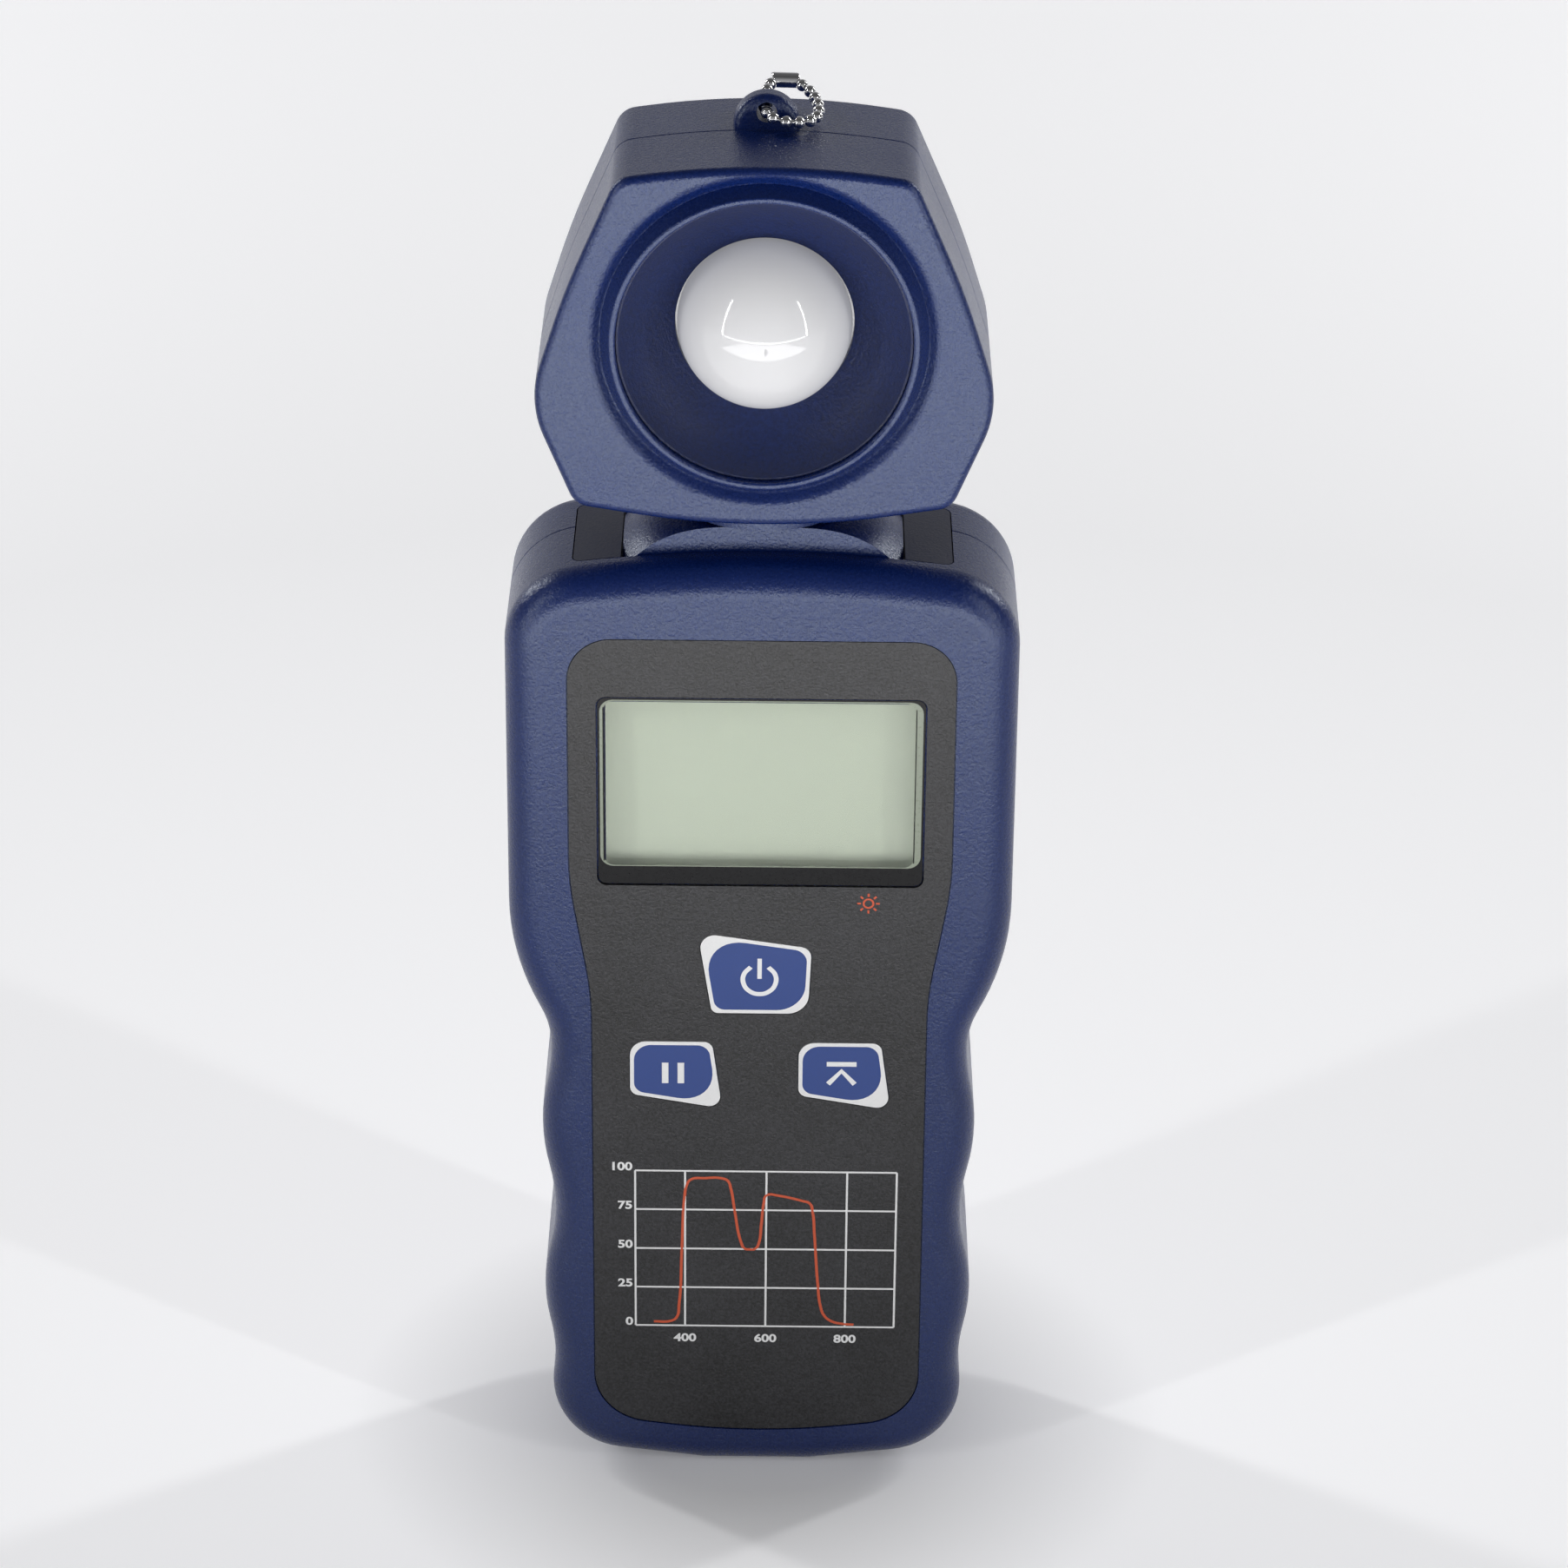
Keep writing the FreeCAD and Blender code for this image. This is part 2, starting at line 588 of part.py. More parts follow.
def window_outline(margin=0.0):
    width, height = size("window_width / 2") + margin, size("window_height / 2") + margin
    middle, radius = size("window_middle"), max(size("window_radius") + margin, 0.2)
    return rectangle(-width, middle - height, width, middle + height, radius)


def key_outline(centre, middle, width, rise, corners):
    """Four-sided key; each corner is (across, up, radius) as parts of half its size and of key_corner."""
    half_width, half_rise, corner = size(width + " / 2"), size(rise + " / 2"), size("key_corner")
    return rounded([(centre + across * half_width, middle + up * half_rise, radius * corner)
                    for across, up, radius in corners])


POWER_CORNERS = ((-1.12, 1.09, 0.75), (-0.86, -1.0, 0.4), (0.88, -1.0, 1.15), (0.935, 0.71, 0.6))
LOWER_CORNERS = ((-0.98, 0.93, 0.85), (-0.98, -0.64, 0.5), (1.05, -1.05, 0.6), (0.82, 0.93, 0.5))


half_spread = size("lower_key_spread / 2")
power_stem = (size("power_key_width") * -0.03, size("power_key_height"))
KEYS = {
    "power_key": (key_outline(0.0, power_stem[1], "power_key_width", "power_key_rise", POWER_CORNERS),
                  power_stem)}
for side, name in ((-1, "hold_key"), (1, "peak_key")):
    stem = (side * half_spread, size("lower_key_height"))
    KEYS[name] = (key_outline(*stem, "lower_key_width", "lower_key_rise", LOWER_CORNERS), stem)
CASE = case_outline()
CASE_SCREWS = [(side * size(f"case_screw_{level}_spread / 2"), size(f"case_screw_{level}"))
               for level in ("low", "high") for side in (-1, 1)]
BOARD_SCREWS = [(side * size("board_screw_spread / 2"), size(f"board_screw_{level}"))
                for level in ("low", "high") for side in (-1, 1)]


def circles(centres, radius):
    return [shape for x, z in centres for shape in circle(x, z, radius)]


def insert_plan(margin=0.0):
    """Plan of the top insert, grown by a margin."""
    width, depth = size("insert_width / 2") + margin, size("insert_depth / 2") + margin
    return rectangle(-width, -depth, width, depth, size("insert_corner") + margin)


# ---------------------------------------------------------------- front shell: face, display opening, bosses

front_shell = new_body("front_shell")
pad(front_shell, CASE, FACE, "case_depth / 2 + parting_back")
soften(front_shell, "case_edge_radius", at_front(size(FACE)))
soften(front_shell, "parting_line", at_front(size(PARTING)), "Chamfer")
pocket(front_shell, case_outline(size("case_wall")), PARTING, INNER + " + parting_back", away=True)
pocket(front_shell, grown(face_outline(), size("face_gap")), FACE, "face_recess")
pocket(front_shell, window_outline(size("face_gap")), FACE, "window_sink + window_thickness")
pocket(front_shell, window_outline(-size("window_ledge")), FACE, "case_wall")
for outline, stem in KEYS.values():
    pocket(front_shell, grown(outline, size("key_gap")), RECESS,
           "key_cap - face_film + key_travel + key_float")
    pocket(front_shell, circle(*stem, size("key_stem_radius + key_gap")), RECESS, "case_wall")
pad(front_shell, circles(BOARD_SCREWS, size("board_boss_radius")), INNER, INNER + " - board_front")
pocket(front_shell, circles(BOARD_SCREWS, size("board_screw_radius + thread_gap")), "board_front",
       "board_screw_length - board_thickness + pilot_extra", away=True)
pad(front_shell, circles(CASE_SCREWS, size("screw_boss_radius")), INNER, INNER + " + parting_back")
pocket(front_shell, circles(CASE_SCREWS, size("screw_shank_radius + thread_gap")), PARTING,
       "screw_shank_length - (case_depth / 2 - screw_sink - parting_back) + pilot_extra", away=True)
pocket(front_shell, insert_plan(size("seam_gap")), "case_height + 1", "case_height + 1 - flange_top",
       plane="XY_Plane")

# ---------------------------------------------------------------- rear shell with the battery bay

COVER_INNER = "(case_depth / 2 - cover_thickness)"
CELL_MIDDLE = "(case_depth / 2 - cover_thickness - bay_gap - cell_radius)"
BAY_FLOOR = "(case_depth / 2 - cover_thickness - 2 * bay_gap - 2 * cell_radius)"
BAY_TOP = "(bay_bottom + 2 * contact_plate + cell_spring + cell_length)"
BAY_HALF = "(cell_pitch + cell_radius + bay_side_gap)"


def bay_outline(margin):
    """Back view of the battery bay, grown by a margin."""
    return rectangle(-size(BAY_HALF) - margin, size("bay_bottom") - margin,
                     size(BAY_HALF) + margin, size(BAY_TOP) + margin)


HOOKS = [side * size("cell_pitch / 2") for side in (-1, 1)]
TAG_HALF = size("tag_width / 2")
TAGS = [(-size("cell_pitch"), size(BAY_TOP + " - contact_plate"), size(BAY_TOP)),
        (size("cell_pitch"), size("bay_bottom"), size("bay_bottom + contact_plate"))]

rear_shell = new_body("rear_shell")
pad(rear_shell, CASE, PARTING, "case_depth / 2 - parting_back")
soften(rear_shell, "case_edge_radius", at_front(size(BACK)))
soften(rear_shell, "parting_line", at_front(size(PARTING)), "Chamfer")
pocket(rear_shell, case_outline(size("case_wall")), PARTING, "case_depth / 2 - parting_back - case_wall")
pad(rear_shell, circles(CASE_SCREWS, size("screw_boss_radius")), PARTING,
    "case_depth / 2 - parting_back - case_wall")
pocket(rear_shell, circles(CASE_SCREWS, size("screw_head_radius + screw_gap")), BACK, "screw_sink",
       away=True)
pocket(rear_shell, circles(CASE_SCREWS, size("screw_shank_radius + screw_gap")), BACK, "case_depth",
       away=True)
pocket(rear_shell, insert_plan(size("seam_gap")), "case_height + 1", "case_height + 1 - flange_top",
       plane="XY_Plane")
pad(rear_shell, bay_outline(size("bay_wall")), "bay_wall - " + BAY_FLOOR,
    "case_depth / 2 - case_wall / 2 + bay_wall - " + BAY_FLOOR)
pocket(rear_shell, bay_outline(0.0), BACK, "case_depth / 2 - " + BAY_FLOOR, away=True)
pocket(rear_shell, bay_outline(size("cover_ledge")), BACK, "cover_thickness", away=True)
for x in HOOKS:
    reach = size("hook_width / 2 + cover_gap * 2")
    low = size("bay_bottom - bay_wall") - 0.01
    pocket(rear_shell, rectangle(x - reach, low, x + reach, size("bay_bottom") + 0.01),
           "0 - " + COVER_INNER, "hook_thickness + hook_swing", away=True)
for x, low, high in TAGS:
    pocket(rear_shell, rectangle(x - TAG_HALF, low, x + TAG_HALF, high), "bay_wall - " + BAY_FLOOR,
           "bay_wall")

# ---------------------------------------------------------------- faceplate and window pane

faceplate = new_body("faceplate")
pad(faceplate, face_outline(), FILM, "face_film")
pocket(faceplate, window_outline(size("face_gap")), FILM, "face_film")
for outline, stem in KEYS.values():
    pocket(faceplate, grown(outline, size("key_gap")), FILM, "face_film")

display_window = new_body("display_window")
pad(display_window, window_outline(), FACE + " - window_sink", "window_thickness")
soften(display_window, "window_bevel", at_front(size(FACE + " - window_sink")), "Chamfer")

# ---------------------------------------------------------------- display cell, its frame and connectors

CELL_FRONT = "(case_depth / 2 - case_wall - frame_lip)"
CELL_BACK = "(case_depth / 2 - case_wall - frame_lip - glass_thickness)"


def sight(margin):
    """Sight opening of the display, grown by a margin."""
    return window_outline(margin - size("window_ledge"))


lcd_frame = new_body("lcd_frame")
pad(lcd_frame, sight(size("glass_margin + frame_wall")), INNER, INNER + " - board_front")
pocket(lcd_frame, sight(size("glass_margin + seam_gap")), CELL_FRONT, CELL_FRONT + " - board_front")
pocket(lcd_frame, sight(0.0), INNER, "frame_lip")

lcd_cell = new_body("lcd_cell")
pad(lcd_cell, sight(size("glass_margin")), CELL_FRONT, "glass_thickness")

cell_half_width = size("window_width / 2 - window_ledge + glass_margin")
cell_half_height = size("window_height / 2 - window_ledge + glass_margin")
zebra_strips = []
for end in (-1, 1):
    middle = size("window_middle") + end * (cell_half_height - size("zebra_inset"))
    zebra_strips.append(box(-cell_half_width + size("zebra_inset"), -size(CELL_BACK),
                            middle - size("zebra_width / 2"),
                            cell_half_width - size("zebra_inset"), -size("board_front"),
                            middle + size("zebra_width / 2")))
group("zebra_connectors", zebra_strips)

# ---------------------------------------------------------------- main board and what it carries

main_board = new_body("main_board")
board_half = size("board_width / 2")
pad(main_board, rectangle(-board_half, size("board_bottom"), board_half, size("board_top"), 1.0),
    "board_front", "board_thickness")
pocket(main_board, circles(BOARD_SCREWS, size("board_screw_radius + thread_gap")), "board_front",
       "board_thickness")

# across, drop below the crown, width, height
CHIPS = ((-12.0, 39.1, 10.0, 10.0), (9.5, 47.1, 6.2, 5.0), (-12.0, 55.1, 4.0, 8.0), (12.5, 31.1, 3.2, 6.0))
board_back = -size(BOARD_BACK)
crown = size("case_height")
group("board_chips", [box(x - width / 2, board_back, crown - drop - height / 2,
                          x + width / 2, board_back + size("chip_height"), crown - drop + height / 2)
                      for x, drop, width, height in CHIPS])

switch_front = size("board_front + switch_height")
switches = []
for outline, (x, z) in KEYS.values():
    half = size("switch_side / 2")
    housing = box(x - half, -switch_front, z - half, x + half, -size("board_front"), z + half)
    dome = Part.makeCone(size("key_stem_radius"), size("key_stem_radius / 2"), size("switch_dome"),
                         Vector(x, -switch_front, z), Vector(0, -1, 0))
    switches.append(housing.fuse(dome))
group("key_switches", switches)

# ---------------------------------------------------------------- keys: cap, stem and the flange behind the wall

STEM_END = "(board_front + switch_height + switch_dome + key_travel + key_float)"
for name, (outline, stem) in KEYS.items():
    key = new_body(name)
    pad(key, outline, FILM, "key_cap")
    pad(key, circle(*stem, size("key_stem_radius")), FILM + " - key_cap",
        FILM + " - key_cap - " + STEM_END)
    pad(key, circle(*stem, size("key_flange_radius")), INNER + " - key_float", "key_flange")

# ---------------------------------------------------------------- screws


def screw(head_radius, head_height, shank_radius, shank_length):
    """Pan head screw with a recess for the driver; it points to -Y from a seat at the origin."""
    rim = head_radius - head_height / 3
    profile = [(0, head_height), (rim, head_height), (head_radius, head_height / 2), (head_radius, 0),
               (shank_radius, 0), (shank_radius, shank_radius - shank_length), (0, -shank_length)]
    solid = turned([Vector(radius, depth, 0) for radius, depth in profile], Vector(0, 0, 0),
                   Vector(0, 1, 0))
    slot = head_radius / 4
    for across, up in ((rim, slot), (slot, rim)):
        solid = solid.cut(box(-across * 0.8, head_height / 2, -up * 0.8, across * 0.8, head_height * 2,
                              up * 0.8))
    return solid


def screws(label, pattern, places):
    """One node of identical screws; places are (x, y, z) of the seats."""
    copies = []
    for place in places:
        copy = pattern.copy()
        copy.translate(Vector(*place))
        copies.append(copy)
    return group(label, copies)


case_screw = screw(size("screw_head_radius"), size("screw_head_height"), size("screw_shank_radius"),
                   size("screw_shank_length"))
screws("case_screws", case_screw, [(x, size("case_depth / 2 - screw_sink"), z) for x, z in CASE_SCREWS])
board_screw = screw(size("board_boss_radius"), size("chip_height"), size("board_screw_radius"),
                    size("board_screw_length"))
screws("board_screws", board_screw, [(x, board_back, z) for x, z in BOARD_SCREWS])

# ---------------------------------------------------------------- top insert, turret and swivel

insert = new_body("top_insert")
pad(insert, insert_plan(), "insert_bottom", "case_height + 1 - insert_bottom", plane="XY_Plane")
beyond = size("case_width")
pocket(insert, rectangle(-beyond, -beyond, beyond, size("case_height") + beyond) + CASE,
       "case_depth", "2 * case_depth")
pad(insert, insert_plan(size("flange_rim")), "flange_top - flange_thickness", "flange_thickness",
    plane="XY_Plane")
trough = size("trough_width / 2")
pocket(insert, rectangle(-trough, -size("insert_depth"), trough, size("insert_depth")),
       "case_height + 1", "case_height + 1 - deck_height", plane="XY_Plane")
pocket(insert, circle(0, 0, size("spigot_radius + thread_gap")), "case_height",
       "case_height - insert_bottom + 1", plane="XY_Plane")


def sector(inner, outer, middle_angle, half_angle):
    """Ring sector in plan; angles in degrees from +X."""
    corner = {}
    for name, radius in (("inner", inner), ("outer", outer)):
        for end, turn in (("start", -half_angle), ("mid", 0), ("end", half_angle)):
            angle = math.radians(middle_angle + turn)
            corner[name, end] = Vector(radius * math.cos(angle), radius * math.sin(angle), 0)
    arcs = [arc_through(*(corner[name, end] for end in ("start", "mid", "end")))
            for name in ("inner", "outer")]
    sides = [Part.LineSegment(corner["inner", end], corner["outer", end]) for end in ("start", "end")]
    return arcs + sides


TAB_HALF = size("stop_tab_angle / 2")
STOP_HALF = 180 - size("swivel_angle") - TAB_HALF - 0.5
pad(insert, sector(size("spigot_radius + thread_gap * 2"), size("stop_reach"), 90, STOP_HALF),
    "insert_bottom - washer_thickness - stop_plate - running_gap",
    "washer_thickness + stop_plate + running_gap", plane="XY_Plane")

turret = new_body("neck_turret")
bore = size("spindle_radius + running_gap")
base_radius = size("turret_top_radius + (turret_top - deck_height) * turret_slope")
turret_profile = [(bore, size("insert_bottom"), 0), (size("spigot_radius"), size("insert_bottom"), 0),
                  (size("spigot_radius"), size("deck_height"), 0), (base_radius, size("deck_height"), 0),
                  (size("turret_top_radius"), size("turret_top"), size("turret_edge")),
                  (bore, size("turret_top"), 0)]
revolve(turret, rounded(turret_profile), "XZ_Plane", "V_Axis")
flat_x, flat_y = size("trough_width / 2 - turret_flat"), size("insert_depth / 2 - turret_flat")
pocket(turret, rectangle(-base_radius - 1, -base_radius - 1, base_radius + 1, base_radius + 1)
       + rectangle(-flat_x, -flat_y, flat_x, flat_y), "turret_top", "turret_top - deck_height",
       plane="XY_Plane")

COLLAR_LOW = "(turret_top + collar_gap)"
COLLAR_HIGH = "(turret_top + collar_gap + collar_rise)"
SEAT = "(head_bottom + clamp_seat)"
CLAMP_TOP = "(head_bottom + clamp_seat + clamp_thickness)"
CLIP_TOP = "(insert_bottom - washer_thickness - stop_plate - 2 * running_gap)"
CLIP_LOW = "(insert_bottom - washer_thickness - stop_plate - 2 * running_gap - clip_thickness)"
groove_radius = size("spindle_radius - clip_groove")
spindle = new_body("neck_spindle")
spindle_profile = [
    (size("spindle_bore"), size("spindle_bottom")), (size("spindle_radius"), size("spindle_bottom")),
    (size("spindle_radius"), size(CLIP_LOW)), (groove_radius, size(CLIP_LOW)),
    (groove_radius, size(CLIP_TOP)), (size("spindle_radius"), size(CLIP_TOP)),
    (size("spindle_radius"), size(COLLAR_LOW)), (size("collar_radius"), size(COLLAR_LOW)),
    (size("collar_radius"), size(COLLAR_HIGH)), (size("neck_radius"), size(COLLAR_HIGH)),
    (size("neck_radius"), size(SEAT)), (size("clamp_radius"), size(SEAT)),
    (size("clamp_radius"), size(CLAMP_TOP)), (size("spindle_bore"), size(CLAMP_TOP))]
revolve(spindle, polygon(spindle_profile), "XZ_Plane", "V_Axis")
for side in (-1, 1):
    edges = sorted((side * size("clamp_flat"), side * size("clamp_radius + 1")))
    pocket(spindle, rectangle(edges[0], -size("clamp_radius"), edges[1], size("clamp_radius")),
           CLAMP_TOP, "clamp_thickness", plane="XY_Plane")


def washer(label, outer, inner, low, thickness):
    """Flat ring round the spindle."""
    ring = new_body(label)
    pad(ring, circle(0, 0, size(outer)) + circle(0, 0, size(inner)), low, thickness, plane="XY_Plane")
    return ring


washer("friction_washer", "stop_radius - running_gap", "spindle_radius + running_gap",
       "insert_bottom - washer_thickness", "washer_thickness - running_gap")
stop = washer("stop_plate", "stop_radius", "spindle_radius + running_gap", CLIP_TOP + " + running_gap",
              "stop_plate")
pad(stop, sector(size("stop_radius - 1"), size("stop_reach"), -90, TAB_HALF),
    CLIP_TOP + " + running_gap", "stop_plate", plane="XY_Plane")
clip = washer("retaining_clip", "clip_radius", "spindle_radius - clip_groove + thread_gap",
              CLIP_LOW + " + thread_gap", "clip_thickness - thread_gap")
pocket(clip, rectangle(-2.6, 0, 2.6, size("clip_radius + 1")), CLIP_TOP, "clip_thickness * 2",
       plane="XY_Plane")

# ---------------------------------------------------------------- head shells

HEAD_TOP = "(head_bottom + head_height)"
OPTIC = "(head_bottom + optic_height)"
HEAD_INNER = "(head_front - head_wall)"
HEAD_SPLIT = "(0 - head_parting)"
FLOOR_BACK = "(well_floor - well_floor_thickness)"


def head_outline():
    """Six-sided with round corners: crowned top and bottom, sides flaring to low wide corners."""
    top, foot = size(HEAD_TOP), size("head_bottom")
    upper = (size("head_top_width / 2"), top - size("head_top_fall"))
    widest = (size("head_width / 2"), foot + size("head_widest"))
    lower = (size("head_foot_width / 2"), foot + size("head_foot_rise"))
    bulge = ((upper[0] + widest[0]) / 2 + size("head_side_bulge"), (upper[1] + widest[1]) / 2)
    half = [(*lower, size("head_foot_corner")), (*widest, size("head_side_corner")),
            (*bulge, size("head_side_curve")), (*upper, size("head_top_corner"))]
    curve = size("head_edge_curve")
    return rounded([(0.0, foot - size("head_foot_apex"), curve)] + half
                   + [(0.0, top + size("head_top_apex"), curve)]
                   + [(-x, z, radius) for x, z, radius in half[::-1]])


def at_optic(radius):
    """A circle about the optical axis."""
    return circle(0, size(OPTIC), radius)


HEAD = head_outline()
HEAD_SCREWS = [(side * size(f"head_screw_{level}_spread / 2"), size(f"head_bottom + head_screw_{level}"))
               for level in ("low", "high") for side in (-1, 1)]
SENSOR_SCREWS = [(size("sensor_screw_circle") * math.cos(math.radians(turn)),
                  size(OPTIC) + size("sensor_screw_circle") * math.sin(math.radians(turn)))
                 for turn in (90, 210, 330)]


def neck_clamp(shell, low, high):
    """Seat, ribs and opening that hold the spindle's flange; low and high bound the shell in Y."""
    reach = size("clamp_radius + 1")
    plan = clipped(circle(0, 0, reach), rectangle(-reach - 1, low, reach + 1, high))
    pad(shell, plan, "head_bottom + head_wall / 2", "clamp_seat - head_wall / 2", plane="XY_Plane")
    near, far = max(low, -reach / 2), min(high, reach / 2)
    for side in (-1, 1):
        edges = sorted((side * size("clamp_flat + thread_gap"), side * reach * 0.98))
        pad(shell, rectangle(edges[0], near, edges[1], far), SEAT + " - head_wall / 2",
            "head_wall / 2 + clamp_thickness", plane="XY_Plane")
    pocket(shell, circle(0, 0, size("neck_radius + thread_gap")), "head_bottom - head_wall",
           "head_wall + clamp_seat", plane="XY_Plane", away=True)


head_front = new_body("head_front_shell")
pad(head_front, HEAD, "head_front", "head_front + head_parting")
soften(head_front, "head_edge_radius", at_front(size("head_front")))
soften(head_front, "parting_line", at_front(size(HEAD_SPLIT)), "Chamfer")
pocket(head_front, grown(HEAD, -size("head_wall")), HEAD_SPLIT, HEAD_INNER + " + head_parting",
       away=True)
inner_ring = size("ring_inner")
well_outer = inner_ring + size("well_wall")
pad(head_front, at_optic(well_outer) + at_optic(inner_ring), HEAD_INNER,
    HEAD_INNER + " - " + FLOOR_BACK)
pad(head_front, at_optic(well_outer) + at_optic(size("light_hole")), "well_floor",
    "well_floor_thickness")
crest = -size("head_front + ring_rise")
crest_outer = inner_ring + size("ring_width")
ring_root, groove_floor = -size("head_front - head_wall / 2"), -size("head_front - groove_depth")
ring_foot = crest_outer + size("ring_foot")
groove_outer, groove_end = size("groove_outer"), size("groove_outer + groove_lip / 2")
revolve(head_front, rounded([(crest, crest_outer, 0), (groove_floor, crest_outer, 0),
                             (groove_floor, ring_foot, size("groove_sweep")),
                             (-size("head_front"), groove_outer, size("groove_lip")),
                             (-size("head_front"), groove_end, 0), (crest, groove_end, 0)]),
        "YZ_Plane", "H_Axis", rise=OPTIC, kind="Groove")
revolve(head_front, rounded([(ring_root, inner_ring, 0), (crest, inner_ring, size("ring_edge")),
                             (crest, crest_outer, size("ring_edge")),
                             (groove_floor, ring_foot, 0), (ring_root, ring_foot, 0)]),
        "YZ_Plane", "H_Axis", rise=OPTIC)
pocket(head_front, at_optic(inner_ring), "head_front", "head_wall")
neck_clamp(head_front, -size(HEAD_INNER), size("head_parting"))
pad(head_front, circles(HEAD_SCREWS, size("head_boss_radius")), HEAD_INNER, HEAD_INNER + " + head_parting")
pocket(head_front, circles(HEAD_SCREWS, size("head_screw_radius + thread_gap")), HEAD_SPLIT,
       "head_screw_length - (head_back - head_screw_sink - head_parting) + pilot_extra", away=True)
pad(head_front, circles(SENSOR_SCREWS, size("sensor_boss_radius")), FLOOR_BACK,
    FLOOR_BACK + " + sensor_front")
pocket(head_front, circles(SENSOR_SCREWS, size("sensor_screw_radius + thread_gap")),
       "0 - sensor_front", "sensor_screw_length - board_thickness + pilot_extra", away=True)

head_rear = new_body("head_rear_shell")
pad(head_rear, HEAD, HEAD_SPLIT, "head_back - head_parting")
soften(head_rear, "head_edge_radius", at_front(size("0 - head_back")))
soften(head_rear, "parting_line", at_front(size(HEAD_SPLIT)), "Chamfer")
pocket(head_rear, grown(HEAD, -size("head_wall")), HEAD_SPLIT, "head_back - head_wall - head_parting")
neck_clamp(head_rear, size("head_parting"), size("head_back - head_wall"))
pad(head_rear, circles(HEAD_SCREWS, size("head_boss_radius")), HEAD_SPLIT,
    "head_back - head_wall - head_parting")
pocket(head_rear, circles(HEAD_SCREWS, size("head_screw_head + screw_gap")), "0 - head_back",
       "head_screw_sink", away=True)
pocket(head_rear, circles(HEAD_SCREWS, size("head_screw_radius + screw_gap")), "0 - head_back",
       "head_back", away=True)
lug_near, lug_far = size("lug_front"), size("lug_front + lug_thickness")
lug_radius, lug_edge = size("lug_radius"), size("lug_edge")
revolve(head_rear, rounded([(lug_near, 0, 0), (lug_near, lug_radius, lug_edge),
                            (lug_far, lug_radius, lug_edge), (lug_far, 0, 0)]),
        "YZ_Plane", "H_Axis", rise=HEAD_TOP)
pocket(head_rear, circle(0, size(HEAD_TOP + " + lug_hole_rise"), size("lug_hole_radius")),
       "0 - lug_front + 1", "lug_thickness + 2")

screws("head_screws",
       screw(size("head_screw_head"), size("head_screw_head_height"), size("head_screw_radius"),
             size("head_screw_length")),
       [(x, size("head_back - head_screw_sink"), z) for x, z in HEAD_SCREWS])

# ---------------------------------------------------------------- optics: gasket, dome, dish, filter, photodiode

DOME_SEAT = "(well_floor + seal_section)"
DISH_SEAT = "(well_floor + seal_section + dome_flange)"
DOME_CENTRE = "(well_floor + seal_section + dome_flange + dome_skirt)"


def turned_on_optic(label, shapes):
    """Body of revolution about the optical axis; its outline is (Y, radius)."""
    body = new_body(label)
    revolve(body, shapes, "YZ_Plane", "H_Axis", rise=OPTIC)
    return body


def band(front, back, inner, outer):
    """Ring section between two forward levels."""
    return polygon([(-size(front), inner), (-size(back), inner), (-size(back), outer),
                    (-size(front), outer)])


turned_on_optic("dome_gasket", band(DOME_SEAT, "well_floor", size("light_hole"),
                                    size("dome_flange_radius")))

dome_outer, dome_inner = size("dome_radius"), size("dome_radius - dome_wall")
dome_centre, dome_front = -size(DOME_CENTRE), -size(DISH_SEAT)
dome_back, flange_edge = -size(DOME_SEAT), size("dome_flange_radius")
dome_shapes = [arc((dome_centre, 0), (dome_centre - dome_outer, 0), (dome_centre, dome_outer)),
               arc((dome_centre, 0), (dome_centre - dome_inner, 0), (dome_centre, dome_inner)),
               line((dome_centre - dome_outer, 0), (dome_centre - dome_inner, 0))]
skirt = [(dome_centre, dome_outer), (dome_front, dome_outer), (dome_front, flange_edge),
         (dome_back, flange_edge), (dome_back, dome_inner), (dome_centre, dome_inner)]
dome_shapes += [line(start, end) for start, end in zip(skirt, skirt[1:])]
turned_on_optic("diffuser_dome", dome_shapes)

dish_outer = size("ring_inner - dish_gap")
rim = -size("head_front + ring_rise - dish_sink")
throat = size("dish_throat")
rim_point = (rim, dish_outer - size("dish_rim"))
lip_point = (-size(DISH_SEAT + " + dish_lip"), throat)
hollow = size("dish_hollow") / math.sqrt(2)
middle_point = Vector((rim_point[0] + lip_point[0]) / 2 + hollow, (rim_point[1] + lip_point[1]) / 2 + hollow, 0)
foot_inner = dish_outer - size("dish_foot")
dish_edge = [lip_point, (-size(DISH_SEAT), throat), (-size(DISH_SEAT), foot_inner),
             (-size("well_floor"), foot_inner), (-size("well_floor"), dish_outer), (rim, dish_outer),
             rim_point]
turned_on_optic("sensor_dish", [line(start, end) for start, end in zip(dish_edge, dish_edge[1:])]
                + [arc_through(Vector(*rim_point, 0), middle_point, Vector(*lip_point, 0))])

sensor_board = new_body("sensor_board")
pad(sensor_board, at_optic(size("sensor_radius")), "0 - sensor_front", "board_thickness")
pocket(sensor_board, circles(SENSOR_SCREWS, size("sensor_screw_radius + thread_gap")),
       "0 - sensor_front", "board_thickness")
screws("sensor_screws",
       screw(size("sensor_screw_head"), size("sensor_screw_head_height"), size("sensor_screw_radius"),
             size("sensor_screw_length")),
       [(x, size("sensor_front + board_thickness"), z) for x, z in SENSOR_SCREWS])

